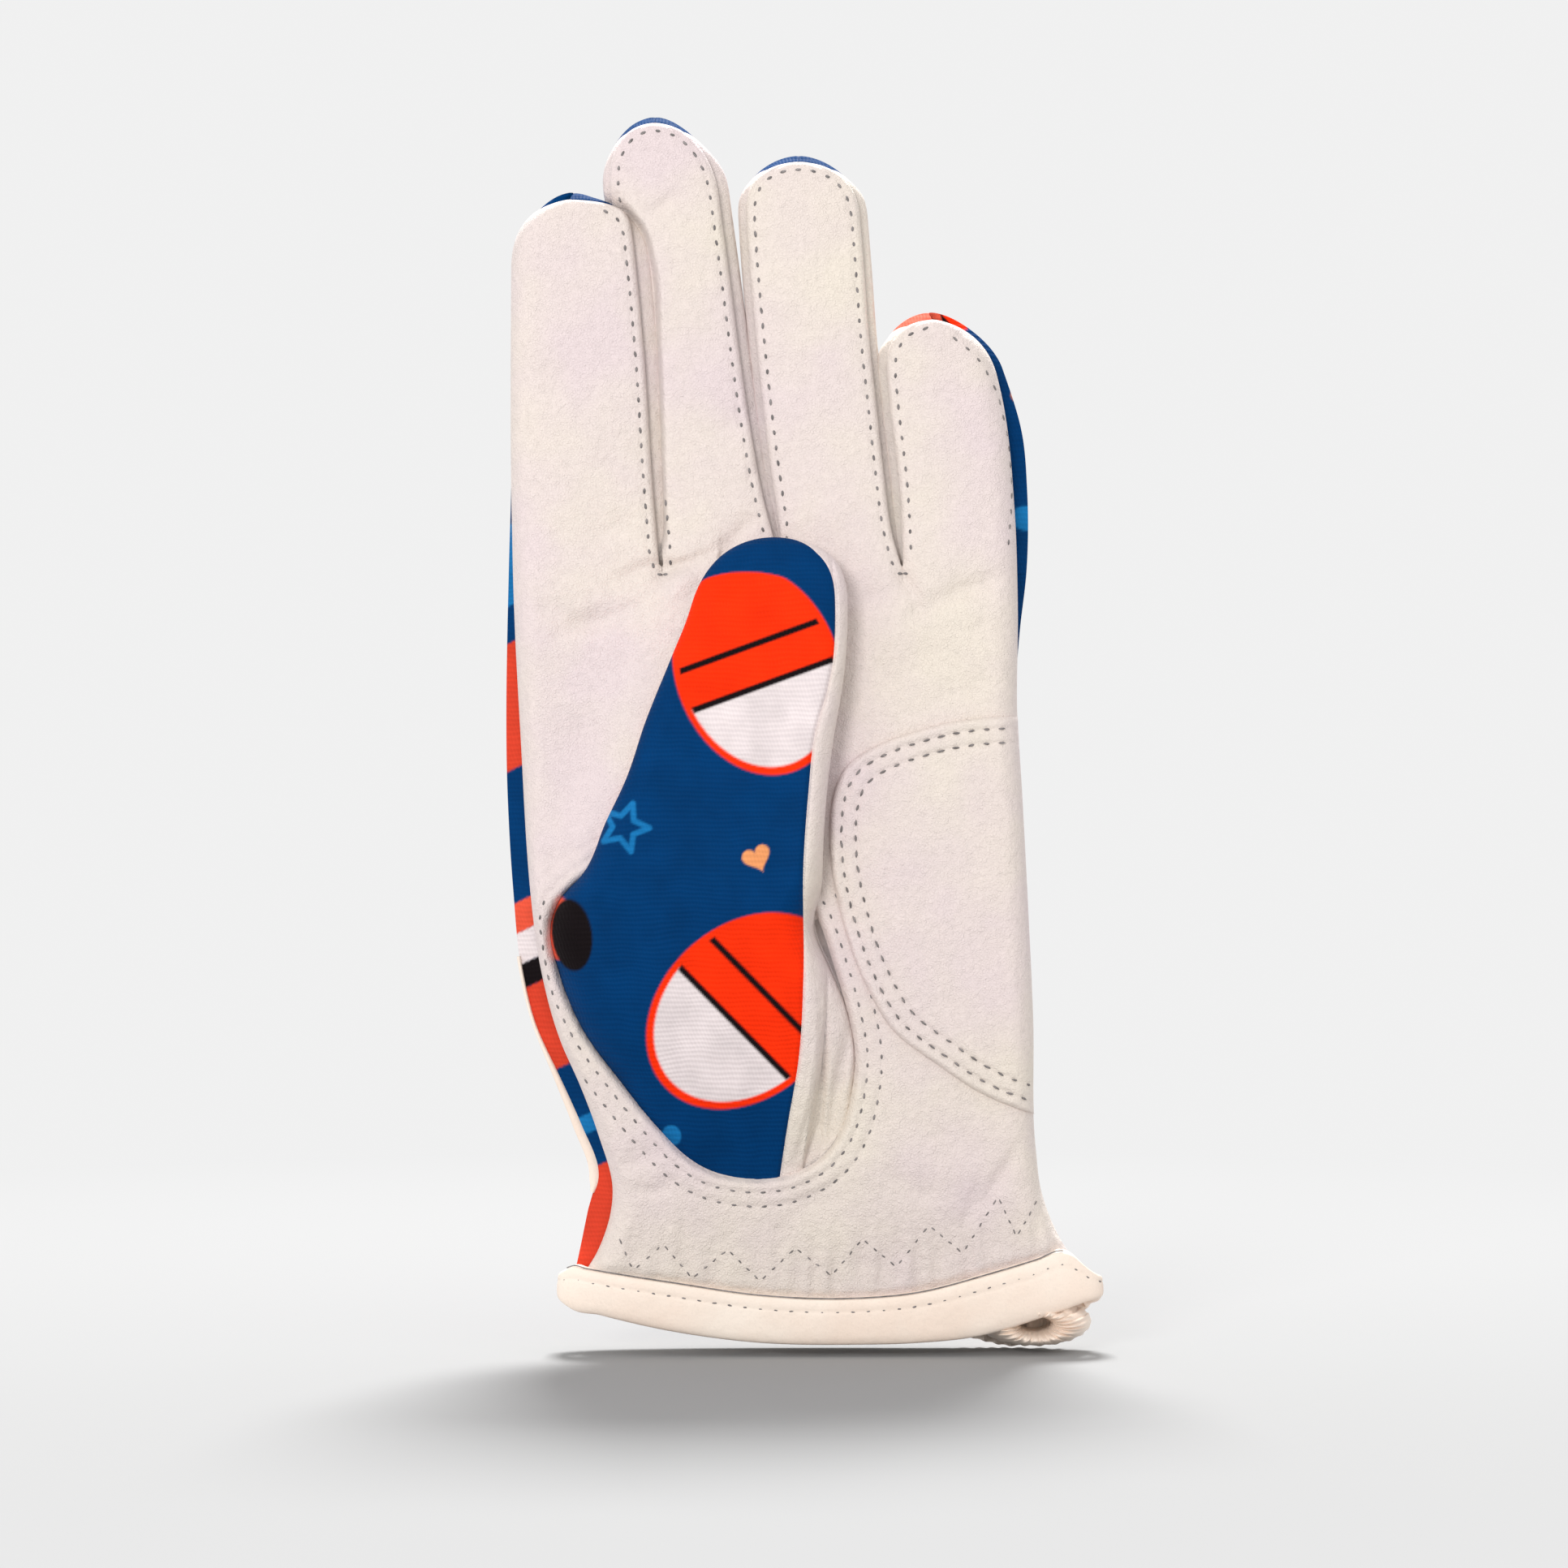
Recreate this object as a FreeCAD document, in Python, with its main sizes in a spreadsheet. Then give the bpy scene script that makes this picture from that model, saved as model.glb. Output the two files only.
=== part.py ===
"""A left-hand golf glove: leather palm and fingers, a printed knit back, a folded thumb.

Frame: millimetres, +Z from the wrist towards the fingertips, +Y out of the back of the
hand, +X towards the little finger. The origin is the centre of the opening at the cuff.
"""
import FreeCAD, Part
import os

import Sketcher
from FreeCAD import Vector

# Driving dimensions, in millimetres and degrees: alias and value.
SIZES = {
    # the hand: half its thickness, its panels and the shape of its two sides
    "skin": 1.0,
    "hand_half": 7.0,
    "hand_round": 5.0,
    "seam_front": -2.5,
    "seam_back": 2.5,
    "hand_seam": 0.4,
    "hand_top": 143.0,
    "index_edge": -56.8,
    "little_edge": 34.6,
    "knuckle_left": -57.4,
    "knuckle_right": 33.2,
    "knuckle_left_level": 80.0,
    "knuckle_right_level": 108.0,
    "wrist_left": -41.6,
    "wrist_right": 36.6,
    "wrist_left_level": 33.0,
    "wrist_right_level": 34.0,
    "side_sweep": 22.0,
    # the cuff: half its width, how far its ends rise over its middle, its binding
    "cuff_half": 47.0,
    "cuff_rise": 8.6,
    "binding_tall": 8.2,
    "binding_ease": 0.6,
    "binding_left": -45.7,
    "binding_right": 44.5,
    "binding_fold": 1.0,
    # the fingers: each one's base and tip, measured across, and its length
    "finger_half": 5.5,
    "finger_round": 4.4,
    "finger_base": 144.0,
    "fourchette_end": 11.0,
    "index_base_left": -56.6,
    "index_base_right": -31.4,
    "index_tip_left": -56.0,
    "index_tip_right": -38.6,
    "index_tip": 203.0,
    "middle_base_left": -30.2,
    "middle_base_right": -10.0,
    "middle_tip_left": -37.4,
    "middle_tip_right": -17.8,
    "middle_tip": 216.6,
    "ring_base_left": -8.8,
    "ring_base_right": 11.4,
    "ring_tip_left": -16.6,
    "ring_tip_right": 2.6,
    "ring_tip": 209.8,
    "little_base_left": 12.8,
    "little_base_right": 34.4,
    "little_tip_left": 8.2,
    "little_tip_right": 29.6,
    "little_tip": 182.0,
    "fingertip_round": 8.6,
    # the thumb, folded over the palm
    "thumb_front_face": -17.6,
    "thumb_rear_face": -8.6,
    "thumb_seam": -12.4,
    "thumb_round": 3.4,
    "thumb_base": 72.6,
    "thumb_rear_start": 78.0,
    "thumb_tip": 141.6,
    "thumb_base_left": -46.0,
    "thumb_base_right": -1.2,
    "thumb_mid_left": -29.0,
    "thumb_mid_right": 1.8,
    "thumb_mid_level": 116.0,
    "thumb_tip_left": -22.4,
    "thumb_tip_right": 4.4,
    "thumb_tip_round": 9.6,
    # the hole in the palm and the fabric gusset that rises out of it
    "gusset_front_face": -16.6,
    "gusset_rear_face": -6.0,
    "gusset_taper": 30.0,
    "gusset_top": 66.4,
    "hole_top": 76.0,
    "hole_left": -46.5,
    "hole_right": 1.4,
    "hole_low_left": -27.0,
    "hole_low_right": -2.0,
    "hole_bottom": 29.6,
    "hole_side_level": 50.0,
    "hole_round": 9.0,
    # the raised patch on the heel of the palm
    "patch_thick": 1.0,
    "patch_left": -0.6,
    "patch_left_level": 91.0,
    "patch_top": 111.0,
    "patch_side": 32.6,
    "patch_low": 41.0,
    "patch_low_left": 14.0,
    "patch_low_level": 52.0,
    "patch_round": 12.0,
    # elastic tapes sewn inside the wrist
    "elastic_thick": 0.7,
    "elastic_tall": 6.0,
    "elastic_lift": 17.0,
    "elastic_dip": 3.4,
    "elastic_left": -30.0,
    "elastic_right": 30.0,
    "back_elastic_left": 0.0,
    # the slit in the back, its binding and the closure
    "slit_left": -12.0,
    "slit_right": -7.0,
    "slit_top": 60.0,
    "slit_binding_wide": 4.0,
    "slit_binding_thick": 0.8,
    "slit_binding_low": 18.0,
    "loop_left": -2.0,
    "loop_right": 30.0,
    "loop_low": 18.0,
    "loop_high": 47.0,
    "loop_thick": 0.8,
    "hook_left": 3.0,
    "hook_thick": 0.9,
    "hook_gap": 0.3,
    "tab_left": -14.6,
    "tab_right": 34.0,
    "tab_low": 14.6,
    "tab_high": 50.4,
    "tab_thick": 1.2,
    "tab_round": 9.0,
}

REACH = 400.0       # longer than the glove: the size of the blocks that divide it
FINGERS = ("index", "middle", "ring", "little")

doc = FreeCAD.newDocument("golf_glove")
sheet = doc.addObject("Spreadsheet::Sheet", "Sizes")


def fill_sheet():
    """Put each driving dimension in a cell of its own, named by its alias."""
    for row, (alias, value) in enumerate(SIZES.items(), start=1):
        sheet.set(f"A{row}", alias)
        sheet.set(f"B{row}", str(value))
        sheet.setAlias(f"B{row}", alias)
    doc.recompute()


def value_of(expression):
    """Add up a sum of aliases and numbers, such as 'tab_high - 2'."""
    total = 0.0
    sign = 1.0
    for word in expression.split():
        if word in ("+", "-"):
            sign = -1.0 if word == "-" else 1.0
            continue
        total += sign * (SIZES[word] if word in SIZES else float(word))
        sign = 1.0
    return total


def cell_of(expression):
    """The same expression with each name pointing at its cell in the sheet."""
    words = (f"Sizes.{word}" if word in SIZES else word for word in expression.split())
    return " ".join(words)


def shifted(expression, skins):
    """The expression moved by one skin up, down or not at all."""
    if skins == 0:
        return expression
    return f"{expression} {'+' if skins > 0 else '-'} skin"


def bind(thing, **expressions):
    """Bind properties of a document object to sums of the sheet's cells."""
    for name, expression in expressions.items():
        thing.setExpression(name.replace("__", "."), cell_of(expression))


def front_sketch(body, name, points, depth, arcs=None):
    """A closed outline in the body's XZ plane, lifted to y = depth.

    arcs maps the number of a side to the alias of its dip: the side is then an arc whose
    middle lies that far below the straight line between its ends.
    """
    sketch = body.newObject("Sketcher::SketchObject", name)
    plane = next(item for item in body.Origin.OriginFeatures if item.Role == "XZ_Plane")
    sketch.AttachmentSupport = [(plane, "")]
    sketch.MapMode = "FlatFace"
    sketch.setExpression("AttachmentOffset.Base.z", f"-({cell_of(depth)})")
    corners = [Vector(value_of(x), value_of(z), 0) for x, z in points]
    count = len(corners)
    ends = []
    for side in range(count):
        start = corners[side]
        end = corners[(side + 1) % count]
        if arcs and side in arcs:
            bottom = (start + end) / 2 - Vector(0, SIZES[arcs[side]], 0)
            rightwards = start.x < end.x
            left, right = (start, end) if rightwards else (end, start)
            sketch.addGeometry(Part.Arc(left, bottom, right), False)
            ends.append((1, 2) if rightwards else (2, 1))
        else:
            sketch.addGeometry(Part.LineSegment(start, end), False)
            ends.append((1, 2))
    for side in range(count):
        following = (side + 1) % count
        sketch.addConstraint(
            Sketcher.Constraint("Coincident", side, ends[side][1], following, ends[following][0]))
    for side, (x, z) in enumerate(points):
        first = ends[side][0]
        across = sketch.addConstraint(
            Sketcher.Constraint("DistanceX", -1, 1, side, first, corners[side].x))
        up = sketch.addConstraint(
            Sketcher.Constraint("DistanceY", -1, 1, side, first, corners[side].y))
        sketch.setExpression(f"Constraints[{across}]", cell_of(x))
        sketch.setExpression(f"Constraints[{up}]", cell_of(z))
    for side, dip in (arcs or {}).items():
        radius = sketch.addConstraint(
            Sketcher.Constraint("Radius", side, sketch.Geometry[side].Radius))
        first, last = (cell_of(points[number % count][0]) for number in (side, side + 1))
        half = f"(({last}) - ({first})) / 2"
        sketch.setExpression(
            f"Constraints[{radius}]", f"({half} * {half} + Sizes.{dip} * Sizes.{dip}) / (2 * Sizes.{dip})")
    return sketch


def padded_body(name, points, depth, thick, arcs=None, taper=None):
    """A body padded from an outline at y = depth towards -Y by a thickness."""
    body = doc.addObject("PartDesign::Body", name)
    sketch = front_sketch(body, f"{name}_outline", points, depth, arcs)
    pad = body.newObject("PartDesign::Pad", f"{name}_pad")
    pad.Profile = sketch
    bind(pad, Length=thick)
    if taper:
        pad.setExpression("TaperAngle", f"-Sizes.{taper}")
    doc.recompute()
    return body


def round_edges(body, name, radius, wanted):
    """Fillet those edges of the body's tip that the test wants."""
    tip = body.Tip
    edges = [f"Edge{number}" for number, edge in enumerate(tip.Shape.Edges, start=1) if wanted(edge)]
    fillet = body.newObject("PartDesign::Fillet", f"{body.Name}_{name}")
    fillet.Base = (tip, edges)
    bind(fillet, Radius=radius)
    doc.recompute()


def across_at(level, above=True):
    """A test for straight edges that run front to back, above or below a level."""
    def wanted(edge):
        box = edge.BoundBox
        straight = box.XLength < 0.01 and box.ZLength < 0.01
        return straight and (box.ZMin > level if above else box.ZMax < level)
    return wanted


def rim_edges(shape, skip):
    """A test for the edges round a solid's front and back faces, less those to skip."""
    front = shape.BoundBox.YMin
    back = shape.BoundBox.YMax

    def wanted(edge):
        box = edge.BoundBox
        flat = box.YLength < 0.01
        return flat and (box.YMax < front + 0.01 or box.YMin > back - 0.01) and not skip(box)
    return wanted


def block(name, left, right, front, back, low, high):
    """A box whose six sides are sums of the sheet's cells."""
    box = doc.addObject("Part::Box", name)
    box.setExpression("Placement.Base.x", cell_of(left))
    box.setExpression("Placement.Base.y", cell_of(front))
    box.setExpression("Placement.Base.z", cell_of(low))
    box.setExpression("Length", f"({cell_of(right)}) - ({cell_of(left)})")
    box.setExpression("Width", f"({cell_of(back)}) - ({cell_of(front)})")
    box.setExpression("Height", f"({cell_of(high)}) - ({cell_of(low)})")
    return box


def common(name, first, second):
    """The part of the first solid that lies inside the second."""
    both = doc.addObject("Part::Common", name)
    both.Base = first
    both.Tool = second
    return both


def cut(name, base, tool):
    """The base less the tool."""
    left_over = doc.addObject("Part::Cut", name)
    left_over.Base = base
    left_over.Tool = tool
    return left_over


def fuse(name, first, second):
    """Two solids as one."""
    whole = doc.addObject("Part::Fuse", name)
    whole.Base = first
    whole.Tool = second
    return whole


FAR = str(REACH)
NEAR = str(-REACH)


def finger_blank(name, skins=0):
    """One finger as a rounded solid: its outside, or its inside when skins is -1."""
    inside = "inside" if skins else "outside"
    low = shifted("finger_base", skins)
    points = [
        (shifted(f"{name}_base_left", -skins), low),
        (shifted(f"{name}_base_right", skins), low),
        (shifted(f"{name}_tip_right", skins), shifted(f"{name}_tip", skins)),
        (shifted(f"{name}_tip_left", -skins), shifted(f"{name}_tip", skins)),
    ]
    half = shifted("finger_half", skins)
    body = padded_body(f"{name}_{inside}", points, half, f"{half} + {half}")
    base = value_of(low)
    round_edges(body, "tip", shifted("fingertip_round", skins), across_at(base + 1))
    round_edges(body, "rim", shifted("finger_round", skins),
                rim_edges(body.Tip.Shape, lambda box: box.ZMax < base + 0.01))
    return body


def finger_pocket(name):
    """One finger of the glove as a closed skin, open at its base."""
    return cut(f"{name}_pocket", finger_blank(name), finger_blank(name, -1))


def finger_panels(name):
    """Divide a finger's skin along its seams into front, back and side strips."""
    pocket = finger_pocket(name)
    end = f"{name}_tip - fourchette_end"
    middle = (SIZES[f"{name}_base_left"] + SIZES[f"{name}_base_right"]
              + SIZES[f"{name}_tip_left"] + SIZES[f"{name}_tip_right"]) / 4
    split = f"{middle:.3f}"
    front = block(f"{name}_front_zone", NEAR, FAR, NEAR, "seam_front", NEAR, FAR)
    back = block(f"{name}_back_zone", NEAR, FAR, "seam_back", FAR, NEAR, FAR)
    tip = block(f"{name}_tip_zone", NEAR, FAR, "seam_front", FAR, end, FAR)
    back = fuse(f"{name}_back_and_tip", back, tip)
    left = block(f"{name}_left_zone", NEAR, split, "seam_front", "seam_back", NEAR, end)
    right = block(f"{name}_right_zone", split, FAR, "seam_front", "seam_back", NEAR, end)
    strips = {}
    if name == "index":
        front = fuse("index_front_and_edge", front, left)
        strips["index_fourchette"] = right
    elif name == "little":
        back = fuse("little_back_and_edge", back, right)
        strips["little_fourchette"] = left
    else:
        before = FINGERS[FINGERS.index(name) - 1]
        after = FINGERS[FINGERS.index(name) + 1]
        strips[f"{name}_fourchette_{before}_side"] = left
        strips[f"{name}_fourchette_{after}_side"] = right
    panels = [common(f"{name}_front", pocket, front), common(f"{name}_back", pocket, back)]
    panels += [common(label, pocket, zone) for label, zone in strips.items()]
    return panels


def hand_blank(name, low, skins=0, longer="0"):
    """The hand as a rounded solid whose lower edge is the cuff's curve.

    It is a skin larger or smaller all round, and its open ends are longer by a length.
    """
    points = [
        (shifted("index_edge", -skins), f"hand_top + {longer}"),
        (shifted("knuckle_left", -skins), "knuckle_left_level"),
        (shifted("wrist_left", -skins), "wrist_left_level"),
        (shifted("0 - cuff_half", -skins), f"cuff_rise + {low} - {longer}"),
        (shifted("cuff_half", skins), f"cuff_rise + {low} - {longer}"),
        (shifted("wrist_right", skins), "wrist_right_level"),
        (shifted("knuckle_right", skins), "knuckle_right_level"),
        (shifted("little_edge", skins), f"hand_top + {longer}"),
    ]
    half = shifted("hand_half", skins)
    body = padded_body(name, points, half, f"{half} + {half}", {3: "cuff_rise"})
    top = value_of(f"hand_top + {longer}")
    bottom = value_of("cuff_rise + 2")
    on_side = across_at(bottom)
    round_edges(body, "sides", "side_sweep", lambda edge: on_side(edge) and edge.BoundBox.ZMax < top - 1)

    def is_open_end(box):
        return box.ZMin > top - 0.01 or (box.ZMax < bottom and box.XLength > REACH / 8)
    round_edges(body, "rim", shifted("hand_round", skins), rim_edges(body.Tip.Shape, is_open_end))
    return body


def hand_panels():
    """The palm, the back and the gusset of the thumb's hole."""
    inside = hand_blank("hand_inside", "binding_fold", -1, "skin")
    pocket = cut("hand_pocket", hand_blank("hand_outside", "binding_fold"), inside)
    front = block("palm_zone", NEAR, FAR, NEAR, "hand_seam", NEAR, FAR)
    back = block("back_zone", NEAR, FAR, "hand_seam", FAR, NEAR, FAR)
    slit = block("slit_zone", "slit_left", "slit_right", "0", FAR, NEAR, "slit_top")
    palm = cut("palm_panel", common("palm_whole", pocket, front), gusset_blank("palm_hole"))
    back = cut("back_panel", common("back_whole", pocket, back), slit)
    return [palm, back, thumb_gusset()]


def gusset_blank(name, skins=0):
    """A solid that tapers forward out of the palm, as large as the hole at its back."""
    left = shifted("hole_left", -skins)
    right = shifted("hole_right", skins)
    low = shifted("hole_bottom", -skins)
    points = [
        (left, "hole_top"),
        (left, "hole_side_level + 12"),
        (shifted("hole_low_left", -skins), f"{low} + 4"),
        (shifted("hole_low_right", skins), low),
        (right, "hole_side_level - 6"),
        (right, "hole_top"),
    ]
    rear = shifted("gusset_rear_face", -skins)
    return padded_body(name, points, rear, "gusset_rear_face - gusset_front_face", taper="gusset_taper")


def thumb_gusset():
    """The fabric that rises out of the hole, below the thumb."""
    skin = cut("gusset_skin", gusset_blank("gusset_outside"), gusset_blank("gusset_inside", -1))
    zone = block("gusset_zone", NEAR, FAR, NEAR, FAR, NEAR, "gusset_top")
    return common("thumb_gusset", skin, zone)


def thumb_blank(name, skins=0):
    """The thumb as a rounded solid: its outside, or its inside when skins is -1."""
    low = shifted("thumb_base", skins)
    high = shifted("thumb_tip", skins)
    points = [
        (shifted("thumb_base_left", -skins), low),
        (shifted("thumb_base_right", skins), low),
        (shifted("thumb_mid_right", skins), "thumb_mid_level"),
        (shifted("thumb_tip_right", skins), high),
        (shifted("thumb_tip_left", -skins), high),
        (shifted("thumb_mid_left", -skins), "thumb_mid_level"),
    ]
    rear = shifted("thumb_rear_face", skins)
    front_to_back = "thumb_rear_face - thumb_front_face"
    thick = f"{front_to_back} - skin - skin" if skins else front_to_back
    body = padded_body(name, points, rear, thick)
    base = value_of(low)
    middle = value_of("thumb_mid_level + 1")
    on_side = across_at(base + 1)
    round_edges(body, "tip", shifted("thumb_tip_round", skins), across_at(value_of(f"{high} - 1")))
    round_edges(body, "sides", "side_sweep", lambda edge: on_side(edge) and edge.BoundBox.ZMax < middle)
    round_edges(body, "rim", shifted("thumb_round", skins),
                rim_edges(body.Tip.Shape, lambda box: box.ZMax < base + 0.01))
    return body


def thumb_panels():
    """The thumb: printed fabric in front and a leather pad facing the palm."""
    pocket = cut("thumb_pocket", thumb_blank("thumb_outside"), thumb_blank("thumb_inside", -1))
    front = block("thumb_back_zone", NEAR, FAR, NEAR, "thumb_seam", NEAR, FAR)
    rear = block("thumb_front_zone", NEAR, FAR, "thumb_seam", FAR, "thumb_rear_start", FAR)
    return [common("thumb_back", pocket, front), common("thumb_front", pocket, rear)]


def heel_patch():
    """The raised leather patch on the heel of the palm."""
    points = [
        ("patch_side", "patch_top"),
        ("patch_left + 10", "patch_top - 4"),
        ("patch_left", "patch_left_level"),
        ("patch_left + 2", "patch_low_level + 20"),
        ("patch_low_left", "patch_low_level"),
        ("patch_side", "patch_low"),
    ]
    body = padded_body("heel_patch", points, "0 - hand_half", "patch_thick")
    inner = SIZES["patch_side"] - 1
    round_edges(body, "corners", "patch_round",
                lambda edge: across_at(0)(edge) and edge.BoundBox.XMax < inner)
    return body


def cuff_blank(name, skins, longer="0"):
    """A solid slice of the wrist between the two curves of the cuff's binding."""
    points = [
        (shifted("0 - cuff_half - binding_ease", -skins), f"cuff_rise - {longer}"),
        (shifted("cuff_half + binding_ease", skins), f"cuff_rise - {longer}"),
        (shifted("binding_right", skins), f"cuff_rise + binding_tall + {longer}"),
        (shifted("binding_left", -skins), f"cuff_rise + binding_tall + {longer}"),
    ]
    half = shifted("hand_half", skins)
    body = padded_body(name, points, half, f"{half} + {half}", {0: "cuff_rise", 2: "cuff_rise"})
    round_edges(body, "rim", shifted("hand_round", skins),
                rim_edges(body.Tip.Shape, lambda box: box.XLength > REACH / 8))
    return body


def cuff_binding():
    """The folded strip that binds the cuff: a band round the wrist, open at the slit."""
    band = cut("cuff_band", cuff_blank("cuff_outside", 1), cuff_blank("cuff_inside", 0, "skin"))
    slit = block("binding_slit", "slit_left", "slit_right", "0", FAR, NEAR, FAR)
    return cut("cuff_binding", band, slit)


def elastic(name, left, depth):
    """A flat elastic tape that follows the cuff's curve inside the wrist."""
    points = [
        (left, "elastic_lift + elastic_tall"),
        (left, "elastic_lift"),
        ("elastic_right", "elastic_lift"),
        ("elastic_right", "elastic_lift + elastic_tall"),
    ]
    return padded_body(name, points, depth, "elastic_thick", {1: "elastic_dip", 3: "elastic_dip"})


def slit_binding():
    """A narrow leather frame sewn round the slit in the back."""
    depth = "hand_half + slit_binding_thick"
    outer = [
        ("slit_left - slit_binding_wide", "slit_binding_low"),
        ("slit_right + slit_binding_wide", "slit_binding_low"),
        ("slit_right + slit_binding_wide", "slit_top + slit_binding_wide"),
        ("slit_left - slit_binding_wide", "slit_top + slit_binding_wide"),
    ]
    frame = padded_body("slit_frame", outer, depth, "slit_binding_thick")
    round_edges(frame, "corners", "slit_binding_wide", across_at(SIZES["slit_top"]))
    slit = block("slit_frame_zone", "slit_left", "slit_right", "0", FAR, NEAR, "slit_top")
    return cut("slit_binding", frame, slit)


def patch(name, left, right, low, high, depth, thick):
    """A flat rectangular patch whose outer face is at y = depth."""
    points = [(left, low), (right, low), (right, high), (left, high)]
    return padded_body(name, points, depth, thick)


def closure():
    """The loop patch on the back, and the tab that closes on it with its hook patch."""
    loop_face = "hand_half + loop_thick"
    hook_face = f"{loop_face} + hook_gap + hook_thick"
    tab_face = f"{hook_face} + tab_thick"
    loop = patch("loop_patch", "loop_left", "loop_right", "loop_low", "loop_high",
                 loop_face, "loop_thick")
    hook = patch("hook_patch", "hook_left", "loop_right", "loop_low", "loop_high",
                 hook_face, "hook_thick")
    tab = patch("closure_tab", "tab_left", "tab_right", "tab_low", "tab_high",
                tab_face, "tab_thick")
    free_end = SIZES["tab_right"] - 1
    round_edges(tab, "free_end", "tab_round",
                lambda edge: across_at(0)(edge) and edge.BoundBox.XMin > free_end)
    return [loop, hook, tab]


def build():
    """Make every sub-part, in the order in which the glove is cut and sewn."""
    subparts = []
    subparts += hand_panels()
    for name in FINGERS:
        subparts += finger_panels(name)
    subparts += thumb_panels()
    subparts.append(heel_patch())
    subparts.append(cuff_binding())
    subparts.append(elastic("wrist_elastic", "elastic_left", "0 - hand_half + skin + elastic_thick"))
    subparts.append(elastic("back_elastic", "back_elastic_left", "hand_half - skin"))
    subparts.append(slit_binding())
    subparts += closure()
    return subparts


def write(subparts):
    """Check every object and sub-part, then write one STEP file for each sub-part."""
    doc.recompute()
    failed = [item.Name for item in doc.Objects if {"Invalid", "Error"} & set(item.State)]
    if failed:
        raise RuntimeError(f"not recomputed: {failed}")
    for part in subparts:
        part.Label = part.Name
        if part.Shape.isNull() or not part.Shape.isValid() or not part.Shape.Solids:
            raise RuntimeError(f"no valid shape: {part.Label}")
    os.makedirs("parts", exist_ok=True)
    for part in subparts:
        part.Shape.exportStep(f"parts/{part.Label}.step")
        box = part.Shape.BoundBox
        print(f"{part.Label:30s} {part.Shape.Volume:9.1f} mm3  solids {len(part.Shape.Solids)}"
              f"  x {box.XMin:6.1f} {box.XMax:6.1f}  y {box.YMin:6.1f} {box.YMax:6.1f}"
              f"  z {box.ZMin:6.1f} {box.ZMax:6.1f}")


fill_sheet()
write(build())
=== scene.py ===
"""Looks of a left-hand golf glove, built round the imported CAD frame.

Everything is worked out in millimetres in the frame's own axes and written to the meshes
in metres: +Z from the cuff to the fingertips, +Y out of the back of the hand, +X towards
the little finger. The palm faces -Y.
"""
import math

import bpy
import numpy as np
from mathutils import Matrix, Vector


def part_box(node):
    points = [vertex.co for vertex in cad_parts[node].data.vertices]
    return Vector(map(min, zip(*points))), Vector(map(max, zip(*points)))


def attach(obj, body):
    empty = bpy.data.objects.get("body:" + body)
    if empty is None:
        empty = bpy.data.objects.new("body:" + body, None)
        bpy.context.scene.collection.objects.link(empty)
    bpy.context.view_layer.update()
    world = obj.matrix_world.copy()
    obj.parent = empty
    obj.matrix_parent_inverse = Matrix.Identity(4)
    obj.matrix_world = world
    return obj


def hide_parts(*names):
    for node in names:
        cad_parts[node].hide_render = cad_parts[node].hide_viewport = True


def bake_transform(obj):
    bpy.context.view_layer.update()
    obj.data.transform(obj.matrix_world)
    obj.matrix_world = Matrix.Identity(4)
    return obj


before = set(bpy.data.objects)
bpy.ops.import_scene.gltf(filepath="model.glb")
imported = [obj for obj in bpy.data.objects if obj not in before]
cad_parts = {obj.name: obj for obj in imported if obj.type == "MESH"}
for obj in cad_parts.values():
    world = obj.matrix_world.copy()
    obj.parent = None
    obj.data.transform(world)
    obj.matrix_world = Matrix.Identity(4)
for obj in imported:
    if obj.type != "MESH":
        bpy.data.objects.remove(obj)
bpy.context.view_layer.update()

MM = 0.001
GRID = 0.5                 # spacing of the leather's mesh, mm
KNIT_GRID = 0.4            # and of the knit's, which holds the print
THUMB_GRID = 0.27          # and of the thumb's
FINGERS = ("index", "middle", "ring", "little")
STITCH = 2.7               # from one stitch to the next
ZIGZAG_STITCH = 2.2        # the same in the wrist's zigzag
CROTCH_STITCH = 1.2        # and in the short rows between two fingers
STITCH_LENGTH = 1.2        # how long one stitch is
HOLE_ROWS = (2.3, 4.8)     # how far outside the thumb's hole its two rows of stitches run
PATCH_ROWS = (2.1, 4.6)    # and how far inside the heel patch's edge its two rows run
WALL_COLUMNS = 9           # points across the side of the glove, from front to back
TUBE_POINTS = 13           # and round a thin tube


def box_mm(node):
    """A CAD node's lowest and highest corners in millimetres."""
    low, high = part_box(node)
    return np.array(low) / MM, np.array(high) / MM


# ---------------------------------------------------------------- curves

def curve(*points):
    """A smooth function through (level, value) points, level rising; held level past its ends."""
    at = np.array([p[0] for p in points], float)
    value = np.array([p[1] for p in points], float)
    slope = np.gradient(value, at) if len(at) > 2 else np.full(2, (value[1] - value[0]) / (at[1] - at[0]))

    def find(level):
        level = np.asarray(level, float)
        k = np.clip(np.searchsorted(at, level) - 1, 0, len(at) - 2)
        width = at[k + 1] - at[k]
        u = np.clip((level - at[k]) / width, 0, 1)
        keep = (1 + 2 * u) * (1 - u) ** 2 * value[k] + u * (1 - u) ** 2 * width * slope[k]
        return keep + u * u * (3 - 2 * u) * value[k + 1] + u * u * (u - 1) * width * slope[k + 1]
    return find


def step(low, high, level):
    """A smooth rise from 0 at low to 1 at high."""
    u = np.clip((np.asarray(level, float) - low) / (high - low), 0, 1)
    return u * u * (3 - 2 * u)


def through(a, b, c, d, u):
    """The smooth curve from b to c whose neighbours are a and d, at the shares u of the way."""
    square = (2 * a - 5 * b + 4 * c - d) * u ** 2
    cube = (3 * b - a - 3 * c + d) * u ** 3
    return 0.5 * (2 * b + (c - a) * u + square + cube)


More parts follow.
